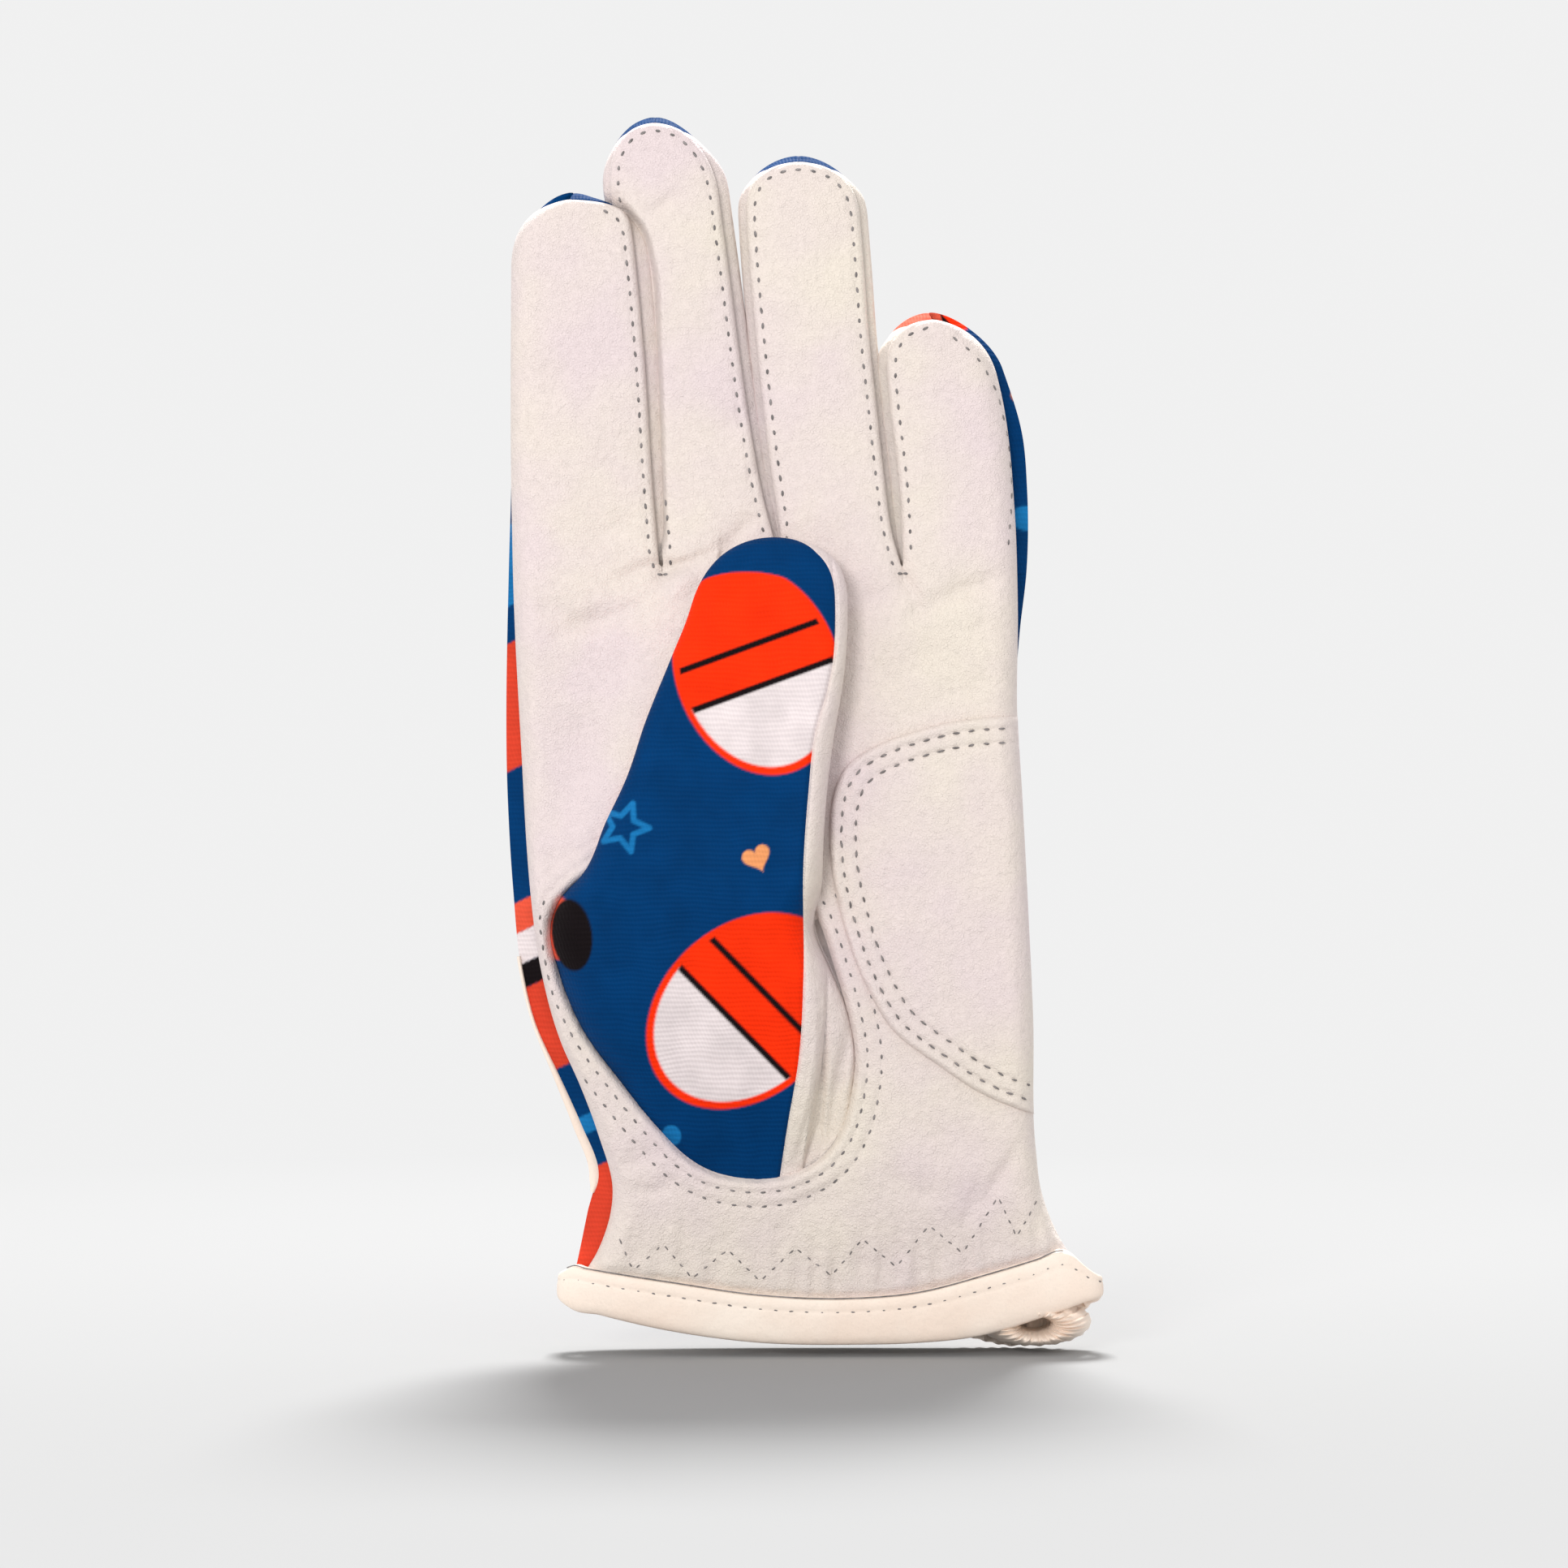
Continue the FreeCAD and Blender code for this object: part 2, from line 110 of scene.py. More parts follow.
def closed_curve(points, spacing):
    """Evenly spaced points on a smooth closed curve through the given ones."""
    given = np.array(points, float)
    before, after, later = np.roll(given, 1, 0), np.roll(given, -1, 0), np.roll(given, -2, 0)
    u = np.linspace(0, 1, 24, endpoint=False)[None, :, None]
    a, b, c, d = (p[:, None, :] for p in (before, given, after, later))
    line = through(a, b, c, d, u)
    return even(line.reshape(-1, given.shape[1]), spacing, closed=True)


def open_curve(points, spacing):
    """Evenly spaced points on a smooth open curve through the given ones."""
    given = np.array(points, float)
    ends = np.vstack([2 * given[0] - given[1], given, 2 * given[-1] - given[-2]])
    a, b, c, d = (ends[k:len(ends) - 3 + k][:, None, :] for k in range(4))
    u = np.linspace(0, 1, 24, endpoint=False)[None, :, None]
    line = through(a, b, c, d, u)
    return even(np.vstack([line.reshape(-1, given.shape[1]), given[-1:]]), spacing)


def even(line, spacing, closed=False):
    """The same line with its points a spacing apart."""
    if closed:
        line = np.vstack([line, line[:1]])
    run = np.concatenate([[0], np.cumsum(np.linalg.norm(np.diff(line, axis=0), axis=1))])
    count = max(2, int(round(run[-1] / spacing)) + 1)
    wanted = np.linspace(0, run[-1], count)
    if closed:
        wanted = wanted[:-1]
    return np.stack([np.interp(wanted, run, line[:, k]) for k in range(line.shape[1])], 1)


def ripple(x, z, size, seed):
    """Smooth irregular waves of about the given size, between -1 and 1."""
    random = np.random.default_rng(seed)
    total = 0.0
    for _ in range(6):
        turn = random.uniform(0, 2 * math.pi)
        length = size * random.uniform(0.7, 1.6)
        phase = random.uniform(0, 2 * math.pi)
        along = (x * math.cos(turn) + z * math.sin(turn)) / length
        total = total + np.sin(2 * math.pi * along + phase)
    return total / 6


def inside(x, z, outline):
    """Whether each point lies inside a closed outline."""
    hit = np.zeros(np.shape(x), bool)
    for (x0, z0), (x1, z1) in zip(outline, np.roll(outline, -1, 0)):
        crosses = (z0 > z) != (z1 > z)
        hit ^= crosses & (x < (x1 - x0) * (z - z0) / (z1 - z0 if z1 != z0 else 1e-9) + x0)
    return hit


def gap_to(x, z, outline):
    """Distance from each point to a closed outline: negative inside it."""
    best = np.full(np.shape(x), 1e9)
    for (x0, z0), (x1, z1) in zip(outline, np.roll(outline, -1, 0)):
        dx, dz = x1 - x0, z1 - z0
        u = np.clip(((x - x0) * dx + (z - z0) * dz) / (dx * dx + dz * dz + 1e-9), 0, 1)
        best = np.minimum(best, np.hypot(x - x0 - u * dx, z - z0 - u * dz))
    return np.where(inside(x, z, outline), -best, best)


# ---------------------------------------------------------------- meshes

def make_piece(name, verts, faces, material, normals=None, tint=None):
    """A mesh object in metres, with its resting place kept as the attribute 'rest'."""
    mesh = bpy.data.meshes.new(name)
    mesh.from_pydata((np.asarray(verts) * MM).tolist(), [], [list(map(int, f)) for f in faces])
    rest = mesh.attributes.new("rest", "FLOAT_VECTOR", "POINT")
    rest.data.foreach_set("vector", np.asarray(verts, np.float32).ravel())
    if tint is not None:
        colour = mesh.color_attributes.new("print", "FLOAT_COLOR", "POINT")
        colour.data.foreach_set("color", np.asarray(tint, np.float32).ravel())
    mesh.polygons.foreach_set("use_smooth", [True] * len(mesh.polygons))
    mesh.materials.append(material)
    if normals is not None:
        mesh.normals_split_custom_set_from_vertices(np.asarray(normals).tolist())
    mesh.update()
    piece = bpy.data.objects.new(name, mesh)
    bpy.context.scene.collection.objects.link(piece)
    return piece


def grid_faces(rows, columns, flip=False, keep=None):
    """The quads of a grid of points, rows by columns."""
    number = np.arange(rows * columns).reshape(rows, columns)
    quads = np.stack([number[:-1, :-1], number[:-1, 1:], number[1:, 1:], number[1:, :-1]], -1)
    if flip:
        quads = quads[..., ::-1]
    quads = quads.reshape(-1, 4)
    return quads if keep is None else quads[keep.reshape(-1)]


def grid_normals(points, flip=False):
    """Unit normals of a grid of points, from its own slopes."""
    across = np.gradient(points, axis=1)
    up = np.gradient(points, axis=0)
    normal = np.cross(across, up)
    if flip:
        normal = -normal
    size = np.linalg.norm(normal, axis=-1, keepdims=True)
    return normal / np.maximum(size, 1e-9)


# ---------------------------------------------------------------- the glove's outlines

HAND_DEPTH = 7.0           # half the hand's depth, and half a finger's
FINGER_DEPTH = 5.5
SPLIT = 136.0              # where the palm's mesh ends and each finger's begins
CROTCH = {"index": 137.2, "middle": 141.6, "ring": 137.4}

# the palm leather's outer edges, the knit's outer edges behind them, and the lines between
# the fingers, each as (level, across)
LEATHER_LEFT = curve((6, -46.4), (10.5, -44.6), (16, -41.4), (26.7, -38.8), (36.7, -41.4),
                     (45.3, -44.6), (53, -48), (65.3, -51.4), (79.6, -53.3), (108, -55.2), (127, -56.2),
                     (151, -56.8), (200, -56.8))
LEATHER_RIGHT = curve((6, 48), (11, 45.6), (16.7, 41.4), (26, 37.4), (34, 36.3), (58, 35.7), (79.6, 34.7),
                      (96.7, 33.8), (111, 33), (129.6, 33.1), (148, 32.5), (165.3, 30.7), (185, 25.5))
KNIT_LEFT = curve((6, -47), (14.6, -45), (22.4, -43.4), (29.6, -41.9), (38, -45), (46.7, -48.8), (56, -52.8),
                  (66, -55.2), (79.6, -56.6), (94, -57.5), (137, -57.4), (151, -57), (200, -56.6))
KNIT_RIGHT = curve((6, 48), (11, 45.6), (16.7, 41.2), (26, 37), (34, 36), (58, 35.2), (96.7, 33.4),
                   (115, 32.8), (126, 33.6), (136.7, 34.8), (151, 34.9), (161, 34), (172.4, 30.6),
                   (185, 25.6))
BETWEEN = {
    "index": curve((6, -22.6), (60, -24), (100, -27.4), (137.2, -29.9)),
    "middle": curve((6, 1), (60, -2.4), (100, -6), (141.6, -9.4)),
    "ring": curve((6, 24), (60, 19.4), (100, 15.6), (137.4, 12.4)),
}
# each finger's leather panel above the crotches: its two edges, then its tip and how long
# the rounding of the tip is
PANEL_LEFT = {
    "index": LEATHER_LEFT,
    "middle": curve((137.2, -29.7), (151, -31), (175, -34.4), (200, -38.6), (216, -41)),
    "ring": curve((141.6, -9), (146, -9.6), (155, -10.9), (175, -13.2), (192, -14.7), (208, -15.6)),
    "little": curve((137.4, 12.6), (151, 11.9), (165, 10.3), (180, 9.0)),
}
PANEL_RIGHT = {
    "index": curve((137.2, -30.4), (151, -31.6), (175.3, -33.2), (193.9, -35), (202, -36)),
    "middle": curve((141.6, -10.1), (150, -12.2), (162, -14.4), (175, -16.3), (189, -18.1), (203, -20),
                    (216, -21.6)),
    "ring": curve((137.4, 12.2), (143, 10.7), (154, 9.2), (165, 8), (178, 6.6), (189, 5.8), (199, 5),
                  (210, 4)),
    "little": LEATHER_RIGHT,
}
TIP = {"index": 201.9, "middle": 215.5, "ring": 208.6, "little": 180.7}
BACK_TIP = {"index": 203.7, "middle": 217.2, "ring": 210.3, "little": 182.4}
TIP_ROUND = {"index": 12.0, "middle": 13.0, "ring": 10.0, "little": 9.6}
TIP_BLUNT = {"index": (2.5, 9.0), "middle": (2.1, 2.1), "ring": (2.6, 2.6), "little": (2.4, 2.4)}
BACK_BLUNT = {"index": (1.9, 2.4), "middle": (2.2, 2.2), "ring": (2.6, 2.6), "little": (2.4, 2.4)}
SEAM_ROLL = 1.5            # how sharply a panel turns down at a seam
EDGE_ROLL = 4.2            # and at the glove's outer edges
HOLE_SIDE_ROLL = curve((36, 4.2), (56, 2.2), (84, 2.2), (100, 4.2))
STITCH_IN = 1.5            # how far inside a panel's edge its stitches run

# where the index finger's side strip hides the middle finger's leather
FOLD = curve((138, -29.4), (151, -30), (175, -30.7), (191, -31.8), (197, -33.6), (202, -37.5))


def front_depth(level):
    """How far the leather's flat face stands in front of the middle of the glove."""
    wrist = 1.6 * (1 - step(8, 34, level))
    return HAND_DEPTH - (HAND_DEPTH - FINGER_DEPTH + 0.3) * step(118, 158, level) - wrist


class Finger:
    """One side of a finger, front or back, with the strip of the hand below it."""

    def __init__(self, name, back=False):
        self.name = name
        self.back = back
        k = FINGERS.index(name)
        self.seams = (FINGERS[k - 1] if k > 0 else None, name if k < 3 else None)
        self.tip = (BACK_TIP if back else TIP)[name]
        self.round_from = self.tip - TIP_ROUND[name]

    def edge(self, level, side):
        """Where the left (0) or right (1) edge is at a level."""
        seam = self.seams[side]
        if self.back and not seam:
            return (KNIT_LEFT, KNIT_RIGHT)[side](level)
        x = (PANEL_LEFT, PANEL_RIGHT)[side][self.name](level)
        if seam:
            if self.back:
                x = x + (-0.9, 0.9)[side] * step(CROTCH[seam], CROTCH[seam] + 8, level)
            x = np.where(level <= CROTCH[seam], BETWEEN[seam](level), x)
        return x

    def sides(self, level):
        """Both edges at a level, drawn in towards the tip."""
        left, right = self.edge(level, 0), self.edge(level, 1)
        q = np.clip((level - self.round_from) / (self.tip - self.round_from), 0, 0.999999)
        blunts = (BACK_BLUNT if self.back else TIP_BLUNT)[self.name]
        shrink = [(1 - q ** blunt) ** (1 / 2.1) for blunt in blunts]
        if self.back:
            shrink = [share * (1 - 0.16 * q ** 1.5) for share in shrink]
        middle, half = (left + right) / 2, (right - left) / 2
        return middle - half * shrink[0], middle + half * shrink[1]

    def free(self, level, side):
        """0 where the edge joins its neighbour, 1 where it turns down by itself."""
        seam = self.seams[side]
        if not seam:
            return np.ones(np.shape(level))
        return step(CROTCH[seam] - 4, CROTCH[seam] + 5, level)

    def roll(self, side, level):
        """The radius of the turn at an edge."""
        if not self.seams[side]:
            return EDGE_ROLL if side or self.back else HOLE_SIDE_ROLL(level)
        return 2.4 if self.back else SEAM_ROLL

    def rows(self, low, spacing=GRID):
        """Levels from low to the tip, closer together round the tip."""
        straight = np.linspace(low, self.round_from, int((self.round_from - low) / spacing), endpoint=False)
        turn = np.linspace(0, math.pi / 2, int(TIP_ROUND[self.name] / spacing * 1.5))
        return np.concatenate([straight, self.round_from + TIP_ROUND[self.name] * np.sin(turn)])

    def columns(self, level, flat_count=44):
        """Places across at each level: evenly over the flat, closer at the rolled edges."""
        left, right = self.sides(level)
        width = (right - left)[:, None]
        turn = np.linspace(0, 1, 14 if self.back else 8)
        evenly, rounded = turn[None, :], 1 - np.cos(turn * math.pi / 2)[None, :]
        roll = [np.minimum(np.reshape(self.roll(side, level), (-1, 1)), width * 0.3) for side in (0, 1)]
        free = [self.free(level, side)[:, None] for side in (0, 1)]
        start = left[:, None] + roll[0] * (evenly * (1 - free[0]) + rounded * free[0])
        end = right[:, None] - (roll[1] * (evenly * (1 - free[1]) + rounded * free[1]))[:, ::-1]
        middle = np.linspace(0, 1, flat_count)[None, 1:-1]
        middle = left[:, None] + roll[0] + middle * (width - roll[0] - roll[1])
        return np.hstack([start, middle, end])

    def drop_size(self, level, side):
        """How far the skin goes down at a rolled edge."""
        if self.seams[side]:
            return 2.0 if self.back else 1.4
        return front_depth(level) - (2.4 if self.back else 0.6)

    def fall(self, x, level):
        """How far the skin turns down at x, near its edges and its tip."""
        left, right = self.sides(level)
        depth = 0.0
        for side, edge, sign in ((0, left, 1), (1, right, -1)):
            radius = np.minimum(self.roll(side, level), (right - left) * 0.3)
            u = np.clip(1 - sign * (x - edge) / radius, 0, 1)
            depth = depth + self.free(level, side) * self.drop_size(level, side) * (1 - np.sqrt(1 - u * u))
        reach, drop = (4.0, 2.6) if self.back else (1.8, 1.3)
        q = np.clip((level - (self.tip - reach)) / reach, 0, 1)
        return depth + drop * (1 - np.sqrt(1 - q * q))

    def on_finger(self, level):
        """0 on the hand, 1 on the finger."""
        seam = CROTCH[self.seams[1] or self.seams[0]]
        return step(seam - 6, seam + 12, level)


HAND = {name: Finger(name) for name in FINGERS}
BACK = {name: Finger(name, back=True) for name in FINGERS}


# ---------------------------------------------------------------- the thumb's outlines

THUMB_LEFT = curve((27, -14), (31, -24.5), (35.8, -30.6), (45.8, -38.6), (54.5, -45), (65.3, -49.6),
                   (74, -50.9), (78, -48.6), (82.4, -44.2), (92.4, -39.4), (99.6, -36), (109.6, -32.6),
                   (121, -28), (128, -25.2), (134.6, -23.4), (142, -22.5))
THUMB_RIGHT = curve((27, -7), (32.3, -0.5), (37.5, 3.5), (45.3, 5.4), (51, 5.8), (58.5, 4.4), (66, 1.4),
                    (72, -1.2), (84, -1.6), (96, -1.0), (108, 0.5), (115, 1.7), (122, 2.5), (130, 2.7),
                    (142, 1.8))
THUMB_SEAM = curve((27, -9.5), (38, -7.9), (51, -5.8), (65.3, -5), (85.3, -5), (96.7, -4.2), (108, -2.9),
                   (115.3, -0.8), (124, 0.6), (130, 0.6), (142, -0.6))
THUMB_TIP = 141.8
THUMB_FRONT = curve((27, 5.2), (31, 6.4), (38, 8.6), (50, 11.8), (65, 14.6), (80, 16.2), (100, 16.8),
                    (130, 16.6), (142, 16))
THUMB_MIDDLE = curve((27, 5.0), (60, 5.2), (74, 5.3), (79, 7.6), (88, 11.6), (100, 12.6), (142, 12.6))
THUMB_REAR = curve((27, 5.2), (60, 5.8), (76, 6.6), (84, 8.2), (142, 8.7))


# ---------------------------------------------------------------- the leather's relief

# the edge of the hole for the thumb, and the edge of the heel patch, as (across, level)
HOLE = closed_curve(((-49.4, 74.5), (-48.0, 65.3), (-43.4, 55), (-37.2, 46.4), (-31.4, 39.2), (-26.0, 33.4),
                     (-20.4, 30.2), (-13.5, 29.1), (-7.5, 29.9), (-2, 32.8), (1.6, 37.6), (3.4, 44), (4, 51),
                     (2.7, 58.5), (0.6, 66), (-3, 76), (-9, 83), (-22, 87), (-36, 85.6), (-45, 81)), 0.6)
PATCH_EDGE = open_curve(((33.2, 110.6), (27, 110.4), (20, 109.4), (10.7, 106.7), (3.9, 103.1), (0.9, 98.9),
                         (-0.4, 92.4), (0.1, 82.4), (2.9, 71), (6.4, 62.4), (10.9, 55.2), (17.9, 49.8),
                         (26.4, 44.2), (36.2, 40.2)), 0.5)
HOLE_ROLL = 1.3            # how far the leather turns in round the hole
RIDGE = curve((70, 2.0), (84, 3.4), (100, 3.2), (120, 2.4), (136, 1.6), (150, 0))

# creases: start, end, width and depth (a negative depth stands up), all in millimetres
CREASES = (
    ((-55, 130), (-37, 126), 2.2, 0.5), ((-50, 124), (-32, 131), 1.8, 0.45),
    ((-38, 135), (-23, 138), 1.3, 0.65), ((-31, 134), (-20, 141), 1.2, 0.55),
    ((-30, 130), (-25, 137), 1.8, -0.5), ((-44, 140), (-34, 146), 2.4, 0.3),
    ((-21, 139), (-12, 146), 1.5, 0.45), ((-33.6, 199.3), (-25.5, 202.4), 1.1, 0.35),
    ((-22, 160), (-14, 164), 2.2, 0.25), ((-16, 152), (-11.5, 156), 1.2, 0.25),
    ((4, 133), (12, 130), 2.4, 0.35), ((12, 136.5), (16, 128), 1.3, 0.4), ((20, 131), (30, 134), 3, 0.3),
    ((32.5, 137.8), (12, 126.5), 1.6, 0.45), ((24, 128), (33, 124), 2.2, 0.35),
    ((5, 117), (24, 121), 3.4, 0.3), ((10, 113), (30, 116), 2.6, 0.25),
    ((26, 22), (33, 37), 1.4, 0.5), ((22, 20), (27, 30), 1.3, 0.3), ((-46, 112), (-40, 100), 3.5, 0.3),
    ((-50, 88), (-45, 80), 3, 0.35), ((-37, 30), (-30, 36), 2.0, 0.35), ((-36, 26), (-27, 29), 1.5, 0.3),
    ((14, 38), (30, 34), 3.0, 0.25), ((8, 30), (20, 26), 2.0, 0.25), ((-8, 24), (2, 26), 2.0, 0.25),
    ((-56, 168), (-46, 171), 3.0, 0.15), ((14, 166), (26, 168), 2.6, 0.15),
    ((-12, 170), (-2, 173), 2.4, 0.15),
)

THUMB_CREASES = (
    ((-3.6, 26), (-1.0, 66), 0.9, 0.9), ((-0.5, 30), (3.2, 60), 1.0, 0.8), ((-5.5, 30), (-3.0, 50), 0.7, 0.5),
    ((1.6, 40), (3.4, 64), 0.7, 0.5), ((-2.6, 60), (0.6, 76), 1.0, 0.4), ((-24, 128), (-14, 133), 1.6, 0.15),
    ((-30, 104), (-12, 101), 2.2, 0.12), ((-44, 78), (-30, 70), 2.4, 0.2), ((-6, 120), (0, 112), 1.2, 0.12),
)


def crease(x, z, start, end, width, depth):
    """One crease in the leather, fading out at both ends."""
    (x0, z0), (x1, z1) = start, end
    dx, dz = x1 - x0, z1 - z0
    length = math.hypot(dx, dz)
    u = ((x - x0) * dx + (z - z0) * dz) / length ** 2
    off = ((x - x0) * dz - (z - z0) * dx) / length + 0.6 * np.sin(u * 5 + x0)
    return 1.5 * depth * np.exp(-(off / width) ** 2) * np.exp(-((u - 0.5) / 0.42) ** 4)


# the cuff's binding, front and back: the levels of its upper and lower edges, as (across, level)
CUFF_TOP = curve((-48.4, 10.2), (-47.2, 12.2), (-45.4, 13.5), (-43, 13.1), (-36, 12.0), (-27.9, 10.8),
                 (-12.1, 8.6), (3.6, 8.1), (15, 9.1), (27.9, 12.4), (36, 14.8), (40.6, 16.3),
                 (42, 15.9), (45, 13.2), (48.4, 10.2))
CUFF_BOTTOM = curve((-48.4, 8.6), (-46.6, 6.6), (-40.7, 5.0), (-26.4, 2), (-12.1, 0.3), (3.6, 0),
                    (15, 0.3), (25, 1.3), (40, 5.6), (45.4, 7.4), (48.4, 8.0))
CUFF_BACK_TOP = curve((-48.4, 9.8), (-44, 11.6), (-30, 9.6), (0, 8), (28, 9.6), (44, 12.4), (48.4, 10.2))
CUFF_BACK_BOTTOM = curve((-48.4, 8.6), (-42, 5.6), (-30, 3.2), (0, 1.0), (22, 0.6), (27, -0.8),
                         (33, -1.7), (40, 0.5), (44.5, 4.4), (48.4, 8.0))


def cuff_rise(x):
    """How much higher the cuff is at x than in its middle."""
    return 7 * (np.asarray(x) / 46.0) ** 2


def relief(x, z):
    """How far the leather lies behind its smooth form: waves, creases, gathers."""
    dent = 0.30 * ripple(x, z, 42, 3) + 0.18 * ripple(x, z, 17, 5) + 0.07 * ripple(x, z, 7, 8)
    for start, end, width, depth in CREASES:
        dent = dent + crease(x, z, start, end, width, depth)
    up = z - cuff_rise(x) - 13.5
    gathers = np.sin(2 * math.pi * (x + 1.5 * np.sin(x / 5.1)) / 5.2)
    gathers = gathers + 0.6 * np.sin(2 * math.pi * x / 3.1 + z / 6)
    gathers = 0.6 * gathers + 1.6 * ripple(x, z * 0.14, 2.4, 41)
    return dent + 0.20 * gathers * np.exp(-(up / 6.5) ** 2) + 0.7 * np.exp(-((z - CUFF_TOP(x)) / 0.9) ** 2)


def seam_groove(z, from_edge):
    """The pull of a row of stitches a little way in from a panel's edge."""
    pull = 0.75 + 0.25 * np.cos(2 * math.pi * z / STITCH)
    return 0.24 * pull * np.exp(-((from_edge - STITCH_IN) / 0.5) ** 2)


def round_hole(x, z):
    """How far the leather turns in at the hole for the thumb, and its two rows of stitches."""
    near = np.full(np.shape(x), 99.0)
    low = (z < 94) & (z > 20)
    near[low] = gap_to(x[low], z[low], HOLE)
    u = np.clip(1 - near / HOLE_ROLL, 0, 1)
    rows = sum(0.22 * np.exp(-((near - row) / 0.5) ** 2) for row in HOLE_ROWS)
    return 2.2 * (1 - np.sqrt(1 - u * u)) + rows - 0.12 * np.exp(-((near - 1.6) / 0.8) ** 2)


def leather_face(x, z, finger):
    """The y of the palm-side leather at x, z on one finger's strip, in millimetres."""
    left, right = finger.sides(z)
    across = np.clip((x - (left + right) / 2) / np.maximum((right - left) / 2, 0.5), -1, 1)
    on_finger = finger.on_finger(z)
    crown = 0.5 * on_finger * (1 - across ** 2) + 0.9 * (1 - on_finger) * (1 - ((x + 11) / 46) ** 2)
    y = -front_depth(z) - crown + finger.fall(x, z) + relief(x, z)
    for side, seam in enumerate(finger.seams):
        if seam:
            from_edge = (x - left, right - x)[side]
            free = finger.free(z, side)
            y = y + free * seam_groove(z, from_edge)
            near_crotch = 1.2 * step(CROTCH[seam] - 9, CROTCH[seam], z) * (1 - free)
            y = y + near_crotch * np.exp(-(from_edge / 1.7) ** 2)
    if finger.name == "middle":
        y = y + 3.8 * step(138, 146, z) * (1 - step(-0.4, 0.9, x - FOLD(z))) * (1 - step(198, 204, z))
    thumb_edge = THUMB_LEFT(z)
    beside = np.maximum(thumb_edge - x, 0)
    near_thumb = step(66, 84, z) * (1 - step(134, 146, z)) * (x < thumb_edge + 3)
    y = y - RIDGE(z) * near_thumb * np.exp(-(beside / 7.5) ** 2)
    return y + round_hole(x, z)


def palm_y(x, z):
    """The y of the leather anywhere on the palm and the fingers."""
    x, z = np.asarray(x, float), np.asarray(z, float)
    y = np.zeros(x.shape)
    for k, name in enumerate(FINGERS):
        left = HAND[name].sides(z)[0]
        here = np.ones(x.shape, bool) if k == 0 else x >= left - 1e-6
        here &= ~(z > TIP[name])
        if here.any():
            y[here] = leather_face(x[here], z[here], HAND[name])
    return y


# ---------------------------------------------------------------- palm and finger leather

def strip_points(finger, levels, face, spacing=GRID):
    """A face's points on one finger's strip, rows by columns."""
    x = finger.columns(levels, int(22 / spacing))
    z = np.repeat(levels[:, None], x.shape[1], 1)
    return np.stack([x, face(x, z, finger), z], -1)


def hand_grid(fingers, face, spacing=GRID):
    """The four fingers' strips of the hand side by side, as one grid up to the split."""
    levels = np.linspace(3.0, SPLIT, int((SPLIT - 3) / spacing))
    strips = [strip_points(fingers[name], levels, face, spacing) for name in FINGERS]
    grid = np.hstack([strips[0]] + [strip[:, 1:] for strip in strips[1:]])
    return grid, strips[0].shape[1]


def above_cuff(grid):
    """Which faces of a grid stand higher than the middle of the cuff's binding."""
    middle = (grid[:-1, :-1] + grid[1:, 1:]) / 2
    return middle[..., 2] > (CUFF_TOP(middle[..., 0]) * 0.8 + CUFF_BOTTOM(middle[..., 0]) * 0.2)


def nearest(x, z, outline):
    """The points of a closed outline nearest to each given point."""
    best, found = np.full(x.shape, 1e9), np.zeros(x.shape + (2,))
    for (x0, z0), (x1, z1) in zip(outline, np.roll(outline, -1, 0)):
        dx, dz = x1 - x0, z1 - z0
        u = np.clip(((x - x0) * dx + (z - z0) * dz) / (dx * dx + dz * dz + 1e-9), 0, 1)
        spot = np.stack([x0 + u * dx, z0 + u * dz], -1)
        gap = np.hypot(x - spot[..., 0], z - spot[..., 1])
        closer = gap < best
        best = np.where(closer, gap, best)
        found[closer] = spot[closer]
    return found


def cut_out(grid, outline, face):
    """Which faces of a grid stay round a cut-out, its rim drawn on to the outline."""
    off = gap_to(grid[..., 0], grid[..., 2], outline)
    out = off > 0
    keep = out[:-1, :-1] | out[1:, :-1] | out[:-1, 1:] | out[1:, 1:]
    rim = (off <= 0) & (off > -1.5)
    moved = nearest(grid[..., 0][rim], grid[..., 2][rim], outline)
    grid[rim, 0], grid[rim, 2] = moved[:, 0], moved[:, 1]
    grid[rim, 1] = face(moved[:, 0], moved[:, 1])
    return keep


def make_leather(material):
    """The palm, and the leather side of each finger, cut from one smooth surface."""
    palm, width = hand_grid(HAND, leather_face)
    normals = grid_normals(palm)
    keep = cut_out(palm, HOLE, palm_y) & above_cuff(palm)
    rows, columns = palm.shape[:2]
    faces = grid_faces(rows, columns, keep=keep)
    piece = make_piece("palm_leather", palm.reshape(-1, 3), faces, material, normals.reshape(-1, 3))
    place(piece, "hand", "palm_leather", "palm_panel")
    edges = {"hand": (palm[:, 0], palm[:, -1])}
    for k, name in enumerate(FINGERS):
        points = strip_points(HAND[name], HAND[name].rows(SPLIT), leather_face)
        facing = grid_normals(points)
        start = k * (width - 1)
        facing[0] = normals[-1, start:start + width]
        rows, columns = points.shape[:2]
        piece = make_piece(f"{name}_leather", points.reshape(-1, 3), grid_faces(rows, columns),
                           material, facing.reshape(-1, 3))
        place(piece, name, "palm_leather", f"{name}_front")
        edges[name] = (points[:, 0], points[:, -1])
    return edges


def place(piece, body, slot, *nodes):
    """Bakes a finger's or the thumb's piece where it stands, or parents any other piece to its body's empty;
    then hides the CAD nodes it stands for.
    """
    if body in FINGERS:
        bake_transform(piece)
    elif body == "thumb":
        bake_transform(piece)
    else:
        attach(piece, body)
    if nodes:
        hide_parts(*nodes)


# ---------------------------------------------------------------- knit back, and the sides

SLIT = closed_curve(((-11.9, -8), (-12, 20), (-12, 45), (-11.6, 56), (-9.5, 60), (-7.4, 56), (-7, 45),
                    (-7, 20), (-7.1, -8)), 0.8)


